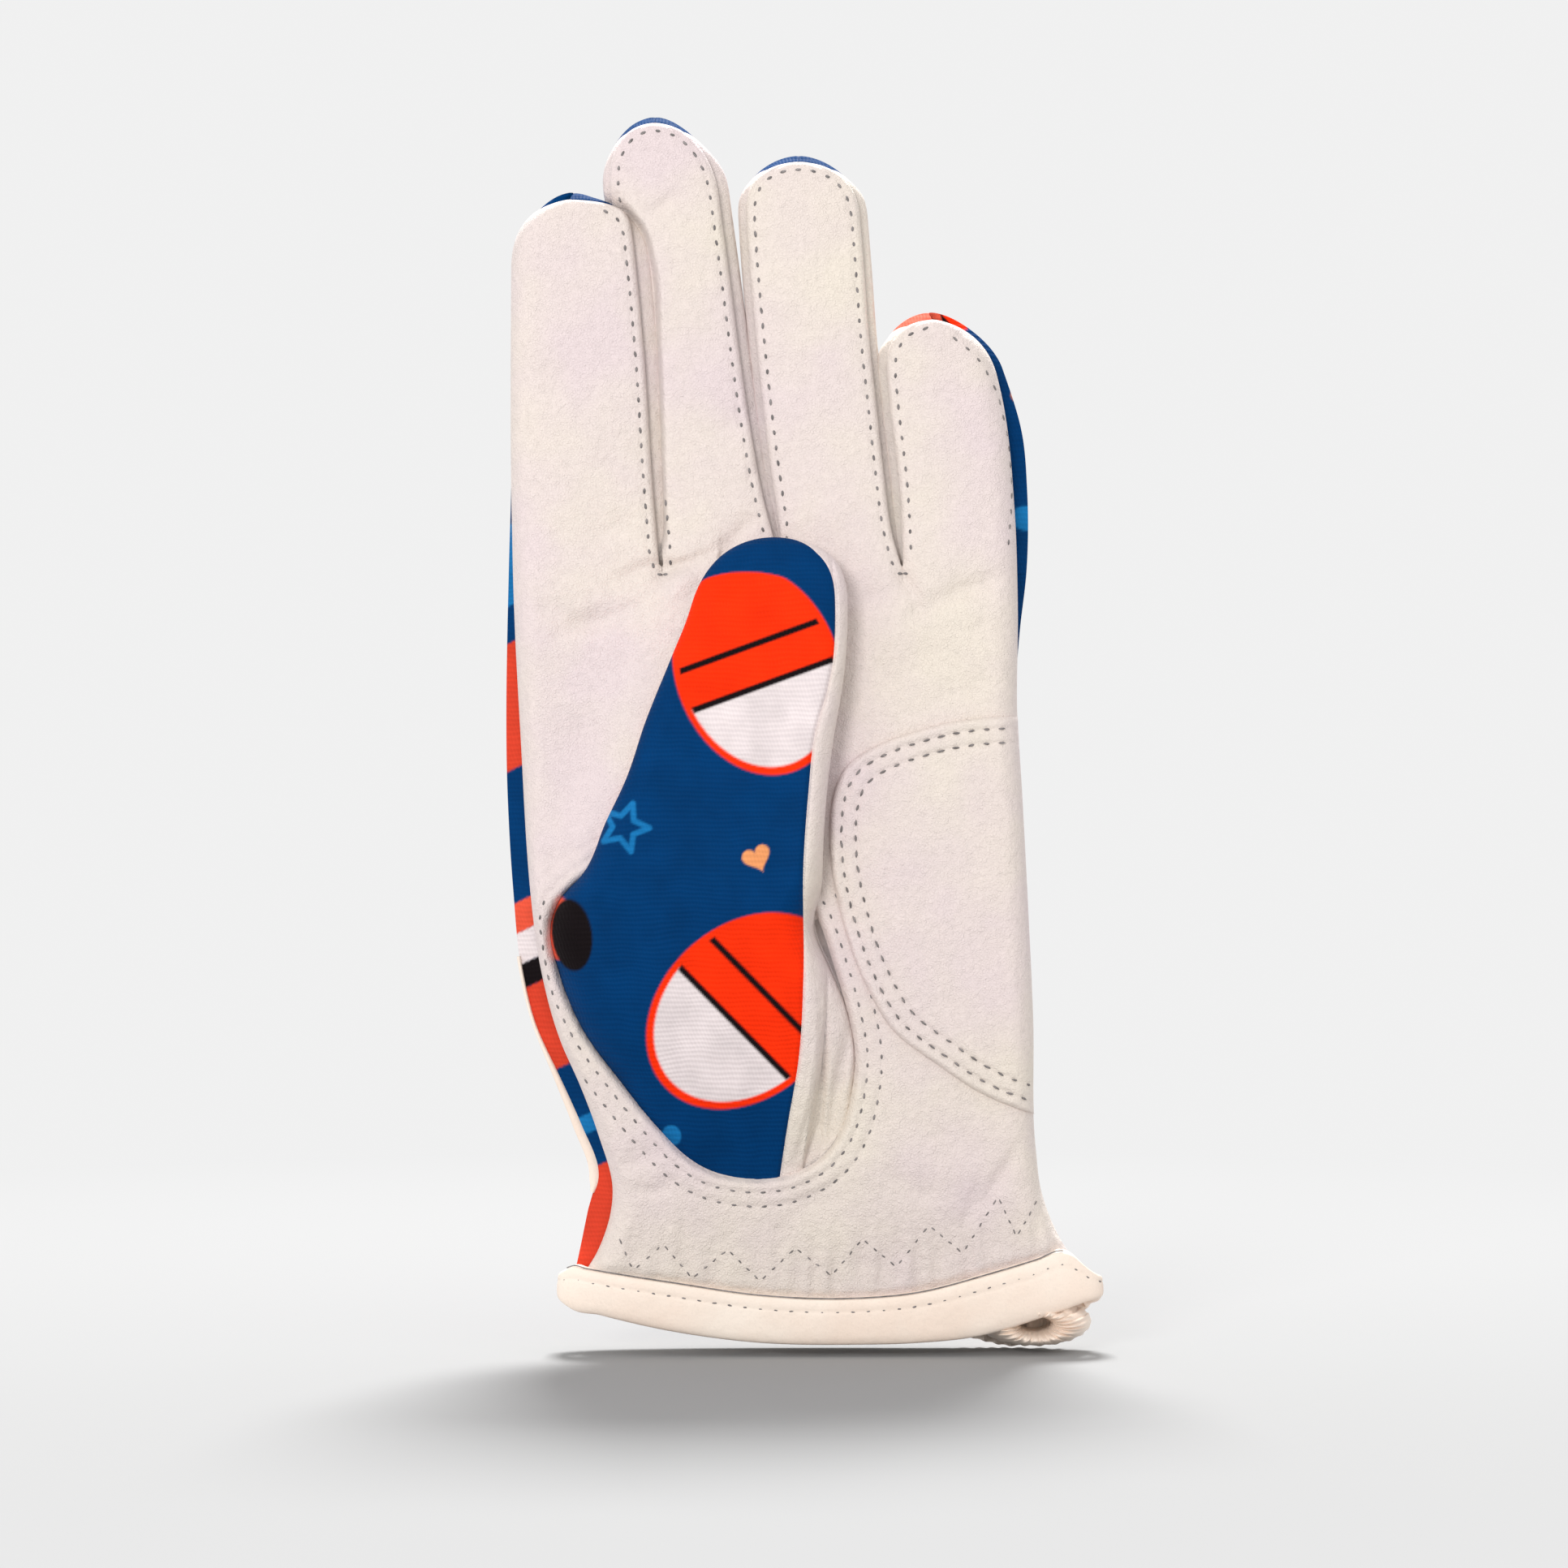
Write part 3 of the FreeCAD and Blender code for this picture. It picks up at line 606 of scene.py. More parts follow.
def knit_face(x, z, finger):
    """The y of the knit back at x, z on one finger's strip."""
    left, right = finger.sides(z)
    across = np.clip((x - (left + right) / 2) / np.maximum((right - left) / 2, 0.5), -1, 1)
    on_finger = finger.on_finger(z)
    crown = 0.6 * on_finger * (1 - across ** 2)
    y = front_depth(z) - 0.5 + crown - finger.fall(x, z)
    y = y + 0.25 * ripple(x, z, 38, 11) + 0.1 * ripple(x, z, 15, 12)
    for side, seam in enumerate(finger.seams):
        if seam:
            from_edge = (x - left, right - x)[side]
            y = y - 1.2 * step(CROTCH[seam] - 16, CROTCH[seam], z) * (1 - finger.free(z, side)) \
                * np.exp(-(from_edge / 2.8) ** 2)
    up = z - cuff_rise(x) - 15
    gathers = np.sin(2 * math.pi * (x + np.sin(x / 4)) / 4.1)
    return y - 0.45 * (1 + gathers) * np.exp(-(up / 7) ** 2)


def knit_y(x, z):
    """The y of the knit anywhere on the hand."""
    return knit_face(np.asarray(x, float), np.asarray(z, float), BACK["index"])


def wall(front, back, bulge, tuck, low=0.0, high=1.0):
    """The side of the glove between the leather's edge and the knit's, or some share of its depth."""
    along = np.gradient(back, axis=0)
    out = np.stack([-along[:, 2], np.zeros(len(along)), along[:, 0]], -1)
    out /= np.maximum(np.linalg.norm(out, axis=1, keepdims=True), 1e-9)
    start = front - out * tuck + np.array([0, 0.8, 0])
    low, high, bulge = (np.asarray(part, float).reshape(-1, 1, 1) for part in (low, high, bulge))
    v = low + (high - low) * np.linspace(0, 1, WALL_COLUMNS)[None, :, None]
    return start[:, None] * (1 - v) + back[:, None] * v + out[:, None] * bulge * np.sin(math.pi * v ** 0.55)


def lay(name, grids, material, body, slot, *nodes):
    """Makes a piece of one or more grids and hands it to place for its body."""
    verts, faces, normals = join_grids(*grids)
    place(make_piece(name, verts, faces, material, normals), body, slot, *nodes)


def join_grids(*grids):
    """Several grids as one list of points, faces and normals."""
    verts, faces, normals = [], [], []
    for points, flip, keep in grids:
        rows, columns = points.shape[:2]
        faces.append(grid_faces(rows, columns, flip, keep) + sum(len(v) for v in verts))
        verts.append(points.reshape(-1, 3))
        normals.append(grid_normals(points, flip).reshape(-1, 3))
    return np.vstack(verts), np.vstack(faces), np.vstack(normals)


# how far each side strip stands out beyond its panel's edge: left, right
BULGE = {"index": (0.2, 2.7), "middle": (1.2, 1.9), "ring": (1.3, 1.4), "little": (1.5, 0.2)}

# the CAD nodes that each finger's side strips stand for: left, right
SIDE_NODES = {
    "index": (None, "index_fourchette"),
    "middle": ("middle_fourchette_index_side", "middle_fourchette_ring_side"),
    "ring": ("ring_fourchette_middle_side", "ring_fourchette_little_side"),
    "little": ("little_fourchette", None),
}


def make_sides(edges, leather, knit):
    """The knit back with its outer sides, and the leather strips between the fingers."""
    hand, width = hand_grid(BACK, knit_face, KNIT_GRID)
    keep = cut_out(hand, SLIT, knit_y) & above_cuff(hand)
    left = wall(matched(edges["hand"][0], len(hand)), hand[:, 0], 0.2, 1.0)
    right = wall(matched(edges["hand"][1], len(hand))[::-1], hand[::-1, -1], 0.2, 1.0)
    verts, faces, normals = join_grids((hand, True, keep), (left, True, above_cuff(left)),
                                       (right, True, above_cuff(right)))
    piece = make_piece("knit_back", verts, faces, knit, normals, print_colour(verts))
    place(piece, "hand", "printed_knit", "back_panel")
    hand_normals = grid_normals(hand, flip=True)
    for k, name in enumerate(FINGERS):
        levels = BACK[name].rows(SPLIT, KNIT_GRID)
        points = strip_points(BACK[name], levels, knit_face, KNIT_GRID)
        knit_grids = [(points, True, None)]
        for side in (0, 1):
            order = slice(None, None, 1 - 2 * side)
            front = matched(edges[name][side], len(levels))[order]
            back = points[order, -side]
            over_tip = step(BACK[name].round_from + 2, BACK[name].tip - 1.5, levels)
            swell = BULGE[name][side] * step(SPLIT - 1, SPLIT + 5, levels) * (1 - 0.8 * over_tip)
            if not BACK[name].seams[side]:
                knit_grids.append((wall(front, back, swell[order], 0.35), True, None))
                continue
            share = leather_share(name, levels)
            knit_grids.append((wall(front, back, swell[order], 0.35, low=share[order]), True, None))
            strip = wall(front, back, swell[order], 0.35, high=share[order])
            lay(f"{name}_{('first', 'second')[side]}_side", [(strip, True, None)], leather, name,
                "fourchette_leather", SIDE_NODES[name][side])
        verts, faces, normals = join_grids(*knit_grids)
        cells = points.shape[0] * points.shape[1]
        facing = normals[:cells].reshape(points.shape)
        start = k * (width - 1)
        facing[0] = hand_normals[-1, start:start + width]
        piece = make_piece(f"{name}_knit", verts, faces, knit, normals, print_colour(verts))
        place(piece, name, "printed_knit", f"{name}_back")


def leather_share(name, level):
    """How much of a side strip's depth is leather: all of it, but little over the tip."""
    finger = BACK[name]
    q = np.clip((level - finger.round_from) / (finger.tip - finger.round_from), 0, 1)
    from_middle = (1 - q ** 2.4) ** (1 / 2.1)
    return 0.02 + 0.96 * step(0.45, 0.9, from_middle)


def matched(line, count):
    """A line with its points shared out again to the given number."""
    at = np.linspace(0, len(line) - 1, count)
    return np.stack([np.interp(at, np.arange(len(line)), line[:, k]) for k in range(3)], 1)


# ---------------------------------------------------------------- the thumb

def thumb_sides(level):
    """The thumb's left and right silhouettes, drawn in at its tip."""
    left, right = THUMB_LEFT(level), THUMB_RIGHT(level)
    q = np.clip((level - 130.0) / (THUMB_TIP - 130.0), 0, 0.9995)
    middle, half = (left + right) / 2, (right - left) / 2
    return middle - half * (1 - q ** 2.3) ** 0.5, middle + half * (1 - q ** 3.2) ** 0.45


def thumb_side(x, level, front):
    """The y of the thumb's front or rear skin."""
    left, right = thumb_sides(level)
    inset = 1.6 * (1 - step(72, 82, level))
    turn = 10.0 - 5.6 * step(66, 88, level)
    from_edge = np.minimum(x - left, right - x) - inset
    width = np.minimum(turn, np.maximum((right - left) / 2 - inset, 0.3))
    u = np.clip(1 - from_edge / width, 0, 1)
    middle = THUMB_MIDDLE(level)
    end = np.clip((level - (THUMB_TIP - 3.6)) / 3.6, 0, 1)
    full = (THUMB_FRONT if front else THUMB_REAR)(level)
    full = middle + (full - middle) * np.sqrt(1 - end * end * 0.98)
    y = -(middle + (full - middle) * np.sqrt(1 - u * u))
    if not front:
        return y
    folds = 0.16 * ripple(x, level, 30, 21) + 0.07 * ripple(x, level, 11, 22)
    for start, stop, width, depth in THUMB_CREASES:
        folds = folds + crease(x, level, start, stop, width, depth)
    off_seam = x - THUMB_SEAM(level)
    pipe = -0.35 * np.exp(-((off_seam - 1.4) / 1.3) ** 2) + 0.5 * np.exp(-(off_seam / 0.35) ** 2)
    ledge = 2.0 * step(3.7, 4.3, off_seam) - 0.5 * np.exp(-((off_seam - 3.0) / 0.8) ** 2)
    ledge = ledge * (1 - step(64, 72, level))
    return y + (folds + pipe + ledge) * (1 - u ** 4)


def make_thumb(leather, knit):
    """The thumb: printed knit in front, leather at its right and behind."""
    straight = np.arange(27.0, 130.0, THUMB_GRID)
    turn = np.linspace(0, math.pi / 2, int(16 / THUMB_GRID))
    levels = np.concatenate([straight, 130 + (THUMB_TIP - 130) * np.sin(turn)])[:, None]
    left, right = thumb_sides(levels)
    seam = np.minimum(THUMB_SEAM(levels), right - np.minimum(2.2, (right - left) * 0.12))
    span = np.linspace(0, 1, 150)[None, :]
    soft = span - 0.10 * np.sin(math.pi * span) * np.cos(math.pi * span) * (span < 0.5)
    front_x = left + (seam - left) * soft
    strip_x = seam + (right - seam) * np.sin(np.linspace(0, math.pi / 2, 56))[None, :]
    rear_x = right + (left - right) * (1 - np.cos(np.linspace(0, math.pi, 40)))[None, :] / 2
    z = [np.repeat(levels, grid.shape[1], 1) for grid in (front_x, strip_x, rear_x)]
    knit_grid = np.stack([front_x, thumb_side(front_x, z[0], True), z[0]], -1)
    strip_grid = np.stack([strip_x, thumb_side(strip_x, z[1], True), z[1]], -1)
    rear_grid = np.stack([rear_x, thumb_side(rear_x, z[2], False), z[2]], -1)
    verts, faces, normals = join_grids((knit_grid, False, None))
    piece = make_piece("thumb_knit", verts, faces, knit, normals, print_colour(verts))
    place(piece, "thumb", "printed_knit", "thumb_back", "thumb_gusset")
    lay("thumb_leather", [(strip_grid, False, None), (rear_grid, False, None)], leather, "thumb",
        "palm_leather", "thumb_front")


# ---------------------------------------------------------------- heel patch and cuff

def make_patch(material):
    """The second layer of leather on the heel of the hand."""
    edge = even(PATCH_EDGE, 0.4)
    share = np.linspace(0, 1, len(edge))
    right_z = edge[0, 1] + (edge[-1, 1] - edge[0, 1]) * share
    right_x = LEATHER_RIGHT(right_z) - 0.05
    u = np.concatenate([np.linspace(0, 1, 14) ** 1.6 * 0.12, np.linspace(0.12, 0.86, 60)[1:],
                        0.86 + 0.14 * np.sin(np.linspace(0, math.pi / 2, 14))[1:]])[None, :]
    x = edge[:, :1] + (right_x[:, None] - edge[:, :1]) * u
    z = edge[:, 1:] + (right_z[:, None] - edge[:, 1:]) * u
    off = stroke(x, z, edge, 0)
    rise = 1.5 * np.sqrt(1 - np.clip(1 - off / 1.0, 0, 1) ** 2) - 0.1
    rows = sum(0.26 * np.exp(-((off - row) / 0.5) ** 2) for row in PATCH_ROWS)
    y = palm_y(x, z) - rise - 0.35 * step(3, 14, off) + rows
    points = np.stack([x, y, z], -1)
    lay("heel_patch_leather", [(points, True, None)], material, "hand", "palm_leather", "heel_patch")


def cuff_path(count):
    """The cuff's outline seen from below: points, and how much each belongs to the front."""
    turn = np.linspace(0, 2 * math.pi, count, endpoint=False)
    x = -0.2 + 46.9 * np.sign(np.cos(turn)) * np.abs(np.cos(turn)) ** 0.9
    y = -6.3 * np.sign(np.sin(turn)) * np.abs(np.sin(turn)) ** 0.45
    return x, y, 0.5 + 0.5 * np.tanh(-y / 1.2)


def make_cuff(material, thread):
    """The cream binding folded over the cuff's edge, all the way round, and its stitches."""
    count = 560
    x, y, front = cuff_path(count)
    out = np.stack([np.gradient(y), -np.gradient(x)], -1)
    out /= np.linalg.norm(out, axis=1, keepdims=True)
    out *= np.sign((out * np.stack([x, y * 6], -1)).sum(1))[:, None]
    top = CUFF_TOP(x) * front + CUFF_BACK_TOP(x) * (1 - front)
    bottom = CUFF_BOTTOM(x) * front + CUFF_BACK_BOTTOM(x) * (1 - front)
    pleat = (1 - front) * step(18, 27, x) * 0.8 * np.sin(2 * math.pi * x / 2.8 + 1.6 * np.sin(x / 2.3))
    section = ((0.25, 0.0), (1.0, -0.02), (1.3, -0.08), (1.45, -0.2), (1.38, -0.27), (1.5, -0.34),
               (1.6, -0.55), (1.55, -0.8), (1.2, -0.94), (0.6, -1.0), (-0.2, -1.0), (-0.9, -0.93),
               (-1.1, -0.8), (-1.1, -0.3), (-0.9, 0.0))
    profile = closed_curve(section, 0.06)
    rings = np.zeros((count, len(profile), 3))
    for k, (off, down) in enumerate(profile):
        swell = off + pleat * (0.3 - 0.7 * down)
        rings[:, k, 0] = x + out[:, 0] * swell
        rings[:, k, 1] = y + out[:, 1] * swell + 0.12 * ripple(x, down * 8, 12, 31) * front
        rings[:, k, 2] = top + (top - bottom) * down
    padded = np.vstack([rings, rings[:1]])
    padded = np.concatenate([padded, padded[:, :1]], 1)
    shown = (front > 0.5) & (np.abs(x) < 46.3)
    drop = np.minimum(2.3, (top - bottom) * 0.3)
    row = np.stack([x + out[:, 0] * 1.35, y + out[:, 1] * 1.35, top - drop], -1)[shown]
    row = even(row[np.argsort(row[:, 0])], STITCH)
    verts, faces = [], []
    stitch_mesh(row, np.array([0, -1.0, 0]), verts, faces, 0.17)
    place(make_piece("cuff_stitches", np.array(verts), faces, thread), "hand", "thread")
    rim = np.stack([x + out[:, 0] * 0.9, y + out[:, 1] * 0.9, top + 0.1], -1)[shown]
    rim = rim[rim[:, 0] < 41]
    line = tube(rim[np.argsort(rim[:, 0])], 0.12, 0.12)
    lay("cuff_edge_thread", [(line, True, None)], thread, "hand", "thread")
    lay("cuff_binding_band", [(padded, False, None)], material, "hand", "cream_binding", "cuff_binding")


# ---------------------------------------------------------------- the print on the knit

def tone(red, green, blue):
    """A colour given as it looks on a screen, 0 to 255, in the renderer's own scale."""
    part = np.array([red, green, blue]) / 255
    return np.where(part <= 0.04045, part / 12.92, ((part + 0.055) / 1.055) ** 2.4)


DEEP_BLUE = tone(0, 54, 104)
LIGHT_BLUE = tone(24, 112, 172)
ORANGE = tone(250, 50, 10)
PALE = tone(226, 214, 214)
PEACH = tone(240, 158, 102)
INK = tone(22, 16, 18)
EDGE_SOFT = 0.32           # how soft the print's edges are, mm


def oval(x, z, at, size, turn=0.0):
    """Signed distance to an oval, about."""
    dx, dz = x - at[0], z - at[1]
    u = dx * math.cos(turn) + dz * math.sin(turn)
    v = dz * math.cos(turn) - dx * math.sin(turn)
    return (np.hypot(u / size[0], v / size[1]) - 1) * min(size)


def stroke(x, z, points, width):
    """Signed distance to a drawn line."""
    best = np.full(np.shape(x), 1e9)
    for (x0, z0), (x1, z1) in zip(points[:-1], points[1:]):
        dx, dz = x1 - x0, z1 - z0
        u = np.clip(((x - x0) * dx + (z - z0) * dz) / (dx * dx + dz * dz), 0, 1)
        best = np.minimum(best, np.hypot(x - x0 - u * dx, z - z0 - u * dz))
    return best - width / 2


def paint(colour, distance, ink):
    """Lays ink where the distance is below 0."""
    cover = np.clip(0.5 - distance / EDGE_SOFT, 0, 1)[..., None]
    colour[...] = colour * (1 - cover) + ink * cover


def turned(x, z, at, turn, size):
    """Places seen from a motif's own middle."""
    dx, dz = (x - at[0]) / size, (z - at[1]) / size
    return dx * math.cos(turn) + dz * math.sin(turn), dz * math.cos(turn) - dx * math.sin(turn)


def pebble(colour, x, z, at, turn=0.0, size=1.0):
    """A plain motif: a pebble, orange above and pale below, with two dark lines across it."""
    u, v = turned(x, z, at, turn, size)
    near = np.hypot(u, v) < 24
    c, u, v = colour[near], u[near], v[near]
    rim = oval(u, v, (0, 0), (13.0, 17.0))
    paint(c, rim, ORANGE)
    paint(c, np.maximum(rim + 1.0, v + 2.5), PALE)
    for level in (-2.5, 4.0):
        paint(c, np.maximum(rim + 1.0, np.abs(v - level) - 0.5), INK)
    colour[near] = c


def star(colour, x, z, at, size, turn):
    """The outline of a five-pointed star."""
    tips = [at + size * (1.0, 0.46)[k % 2] * np.array([math.sin(k * math.pi / 5 + turn),
                                                      math.cos(k * math.pi / 5 + turn)]) for k in range(11)]
    paint(colour, stroke(x, z, tips, 0.22 * size), LIGHT_BLUE)


def heart(colour, x, z, at, size):
    """A small solid heart, leaning a little."""
    turn = 0.4
    t = np.linspace(0, 2 * math.pi, 40, endpoint=False)
    across = np.sin(t) ** 3
    up = (13 * np.cos(t) - 5 * np.cos(2 * t) - 2 * np.cos(3 * t) - np.cos(4 * t)) / 16
    outline = np.stack([at[0] + size * (across * math.cos(turn) - up * math.sin(turn)),
                        at[1] + size * (up * math.cos(turn) + across * math.sin(turn))], -1)
    near = np.hypot(x - at[0], z - at[1]) < 2 * size
    some = colour[near]
    paint(some, gap_to(x[near], z[near], outline), PEACH)
    colour[near] = some


# the knit's outer side as it shows beside the palm: up to this level, this colour
SIDE_BANDS = ((26.6, tone(214, 66, 44)), (33.2, DEEP_BLUE), (36.8, LIGHT_BLUE), (47.4, DEEP_BLUE),
              (64.6, tone(214, 66, 44)), (69.2, INK), (75, PALE), (80.6, tone(226, 84, 60)),
              (104.6, DEEP_BLUE), (127.4, tone(214, 66, 44)), (134, DEEP_BLUE), (148.5, LIGHT_BLUE),
              (400, DEEP_BLUE))


def print_colour(verts):
    """The print's colour at each point of the knit."""
    x, y, z = verts[:, 0], verts[:, 1], verts[:, 2]
    colour = np.tile(DEEP_BLUE * 1.0, (len(verts), 1))
    if y.max() < 0:
        paint_thumb(colour, x, z)
    else:
        paint_back(colour, x, z)
        paint_edges(colour, x, y, z)
    return np.hstack([np.clip(colour, 0, 1), np.ones((len(verts), 1))])


def paint_thumb(colour, x, z):
    """Two pebbles, a star, a heart and a few spots on the thumb."""
    pebble(colour, x, z, (-13.0, 118.5), turn=0.35, size=1.1)
    paint(colour, 135.6 - z - 0.022 * (x + 15) ** 2, DEEP_BLUE)
    pebble(colour, x, z, (-15.0, 59.0), turn=-0.8, size=1.15)
    star(colour, x, z, np.array([-36.2, 91.2]), 4.4, 0.35)
    heart(colour, x, z, (-13.1, 85.9), 2.5)
    paint(colour, oval(x, z, (-48.2, 73.4), (3.4, 5.6)), tone(226, 84, 60))
    paint(colour, oval(x, z, (-45.5, 72.3), (3.7, 6.3), 0.1), INK)
    paint(colour, z - 39.4, DEEP_BLUE)
    paint(colour, oval(x, z, (-28.2, 36.8), (1.7, 1.9)), LIGHT_BLUE)


def paint_back(colour, x, z):
    """The same print over the back of the hand, in rows."""
    for row, level in enumerate(range(34, 230, 48)):
        for column in range(-2, 3):
            at = (column * 44 + 22 * (row % 2) - 4, level)
            pebble(colour, x, z, at, turn=(0.35, -0.8)[(row + column) % 2], size=0.9)
            star(colour, x, z, np.array([at[0] + 23, at[1] + 6]), 3.6, 0.4)
            heart(colour, x, z, (at[0] + 21, at[1] - 14), 2.2)
            paint(colour, oval(x, z, (at[0] + 26, at[1] + 18), (1.8, 1.8)), LIGHT_BLUE)


def paint_edges(colour, x, y, z):
    """Bands of the print's colours down the outer sides, where they show from the palm."""
    banded = DEEP_BLUE * np.ones_like(colour)
    low = -50.0
    for top, ink in SIDE_BANDS:
        slant = z - 0.5 * (x + 50)
        paint(banded, np.maximum(low - slant, slant - top), ink)
        low = top
    left = x < np.where(z > 150, -56, -36)
    share = (left * (1 - step(2.0, 3.2, y)))[:, None]
    colour[...] = colour * (1 - share) + banded * share
    right = (((x > 24) & (z > 20)) * (1 - step(2.0, 3.2, y)))[:, None]
    colour[...] = colour * (1 - right) + DEEP_BLUE * right
    for at, size, ink in (((34.4, 168.1), (2.4, 1.6), PEACH), ((34.8, 146), (3, 2.2), LIGHT_BLUE)):
        paint(colour, np.where(y < 3, oval(x, z, at, size), 9), ink)
    paint(colour, np.where((x > 10) & (x < 19.5), 180.0 - z - 0.2 * np.abs(x - 15), 9), tone(222, 92, 70))
    tips = (z > 196) & (y < 3)
    colour[tips] = DEEP_BLUE


# ---------------------------------------------------------------- stitches

def stitch_mesh(points, towards, verts, faces, radius):
    """Adds a short round thread at each point along a line."""
    count = len(points)
    along = np.gradient(points, axis=0)
    along /= np.maximum(np.linalg.norm(along, axis=1, keepdims=True), 1e-9)
    rings, around = 5, 6
    for k in range(count):
        side = np.cross(along[k], towards)
        side /= max(np.linalg.norm(side), 1e-9)
        ahead = along[k] + side * 0.14 * math.sin(2.4 * k)
        ahead /= np.linalg.norm(ahead)
        side = np.cross(ahead, towards)
        side /= max(np.linalg.norm(side), 1e-9)
        up = np.cross(side, ahead)
        reach = STITCH_LENGTH * (0.5 + 0.07 * math.sin(5.1 * k))
        first = len(verts)
        for i in range(rings):
            u = -1 + 2 * i / (rings - 1)
            fat = radius * math.sqrt(max(1 - 0.92 * u * u, 0.02))
            sink = 0.22 * u * u
            for j in range(around):
                turn = 2 * math.pi * j / around
                spot = points[k] + ahead * (u * reach) + side * (fat * math.cos(turn))
                verts.append(spot + up * (fat * math.sin(turn) - sink))
        for i in range(rings - 1):
            for j in range(around):
                n = (j + 1) % around
                a, b = first + i * around, first + (i + 1) * around
                faces.append((a + j, a + n, b + n, b + j))
        faces.append(tuple(first + j for j in range(around))[::-1])
        faces.append(tuple(first + (rings - 1) * around + j for j in range(around)))


def seam(lines, surface, name, body, material, radius=0.25, spacing=STITCH):
    """Rows of stitches along lines (across, level) on a surface, as one piece."""
    verts, faces = [], []
    for line in lines:
        spots = even(np.array(line, float), spacing)
        spots = (spots[1:] + spots[:-1]) / 2
        if len(spots) < 2:
            continue
        y = surface(spots[:, 0], spots[:, 1])
        towards = np.array([0, -1.0, 0]) if y.mean() < 0 else np.array([0, 1.0, 0])
        points = np.stack([spots[:, 0], y + towards[1] * 0.05, spots[:, 1]], -1)
        stitch_mesh(points, towards, verts, faces, radius)
    piece = make_piece(name, np.array(verts), faces, material)
    place(piece, body, "thread")


def inset(line, distance):
    """A line moved sideways to its left by a distance."""
    along = np.gradient(line, axis=0)
    along = along / np.maximum(np.linalg.norm(along, axis=1, keepdims=True), 1e-9)
    return line + np.stack([-along[:, 1], along[:, 0]], -1) * distance


def finger_seam(name):
    """The line of a finger's stitches: up its left edge, over the tip and down its right."""
    finger = HAND[name]
    levels = finger.rows(SPLIT)
    left, right = finger.sides(levels)
    low = [CROTCH[s] - 0.4 if s else None for s in finger.seams]
    sides = []
    if low[0]:
        sides.append(np.stack([left, levels], -1)[levels > low[0]])
    if low[1]:
        sides.append(np.stack([right, levels], -1)[levels > low[1]][::-1])
    line = even(np.vstack(sides), 0.5)
    return inset(line, -STITCH_IN)


# the corners of the zigzag over the wrist's elastic, as (across, level)
ZIGZAG = ((-37.6, 19.1), (-35, 12.9), (-29.7, 17.7), (-24.6, 11.6), (-18.3, 16.7), (-12.6, 11.1),
          (-6.4, 17), (0, 12.1), (5.4, 18.6), (11.4, 13.6), (17.1, 21), (23.1, 16), (29.3, 26),
          (32.6, 18.9), (36.4, 25.6))


def make_stitches(thread):
    """Every row of stitches on the palm side."""
    for name in FINGERS:
        line = finger_seam(name)
        if name == "index":
            line = line[line[:, 0] > -41.5]
        if name == "middle":
            line = line[(line[:, 0] > FOLD(line[:, 1]) + 0.6) | (line[:, 1] > 200.5)]
        if name == "little":
            line = line[4:]
        breaks = np.where(np.linalg.norm(np.diff(line, axis=0), axis=1) > 2)[0] + 1
        seam(np.split(line, breaks), lambda x, z, finger=HAND[name]: leather_face(x, z, finger),
             f"{name}_stitches", name, thread)
    ends = [np.array([(BETWEEN[seam_name](level) - 1.2, level), (BETWEEN[seam_name](level) + 1.2, level)])
            for seam_name, level in ((name, CROTCH[name] - 1.6) for name in CROTCH)]
    seam(ends, palm_y, "crotch_stitches", "hand", thread, spacing=CROTCH_STITCH)
    hole = HOLE[HOLE[:, 1] < 78]
    start = np.argmax(np.linalg.norm(hole - np.roll(hole, 1, 0), axis=1))
    hole = np.roll(hole, -start, 0)
    outward = 1 if gap_to(*inset(hole, 1.0)[40], HOLE) > 0 else -1
    rows = [inset(hole, outward * row) for row in HOLE_ROWS]
    limit = [LEATHER_LEFT(row[:, 1]) + 1.4 for row in rows]
    rows[0][:, 0] = np.maximum(rows[0][:, 0], limit[0])
    rows[1] = rows[1][rows[1][:, 0] > limit[1]]
    seam(rows, palm_y, "thumb_hole_stitches", "hand", thread, radius=0.21)
    inward = 1 if inset(PATCH_EDGE, 1.0)[20, 0] > PATCH_EDGE[20, 0] else -1
    rows = [inset(PATCH_EDGE, inward * row)[4:-4] for row in PATCH_ROWS]
    seam(rows, lambda x, z: palm_y(x, z) - 1.4, "heel_patch_stitches", "hand", thread, radius=0.19)
    seam([ZIGZAG[k:k + 2] for k in range(len(ZIGZAG) - 1)], palm_y, "wrist_stitches", "hand", thread,
         radius=0.14, spacing=ZIGZAG_STITCH)
    outer = [(31.4, 140), (32.3, 150), (31.6, 160), (29.6, 168), (26.2, 174), (21, 178)]
    seam([np.array(outer) - (0.3, 0)], lambda x, z: leather_face(x, z, HAND["little"]),
         "little_edge_stitches", "little", thread, radius=0.2)


# ---------------------------------------------------------------- the closure on the back

def swept(line, normals, profile):
    """A grid of a profile carried along a line: (points along, points round, 3)."""
    along = np.gradient(line, axis=0)
    along /= np.linalg.norm(along, axis=1, keepdims=True)
    side = np.cross(normals, along)
    off = np.asarray(profile, float)
    return line[:, None] + side[:, None] * off[None, :, :1] + normals[:, None] * off[None, :, 1:]


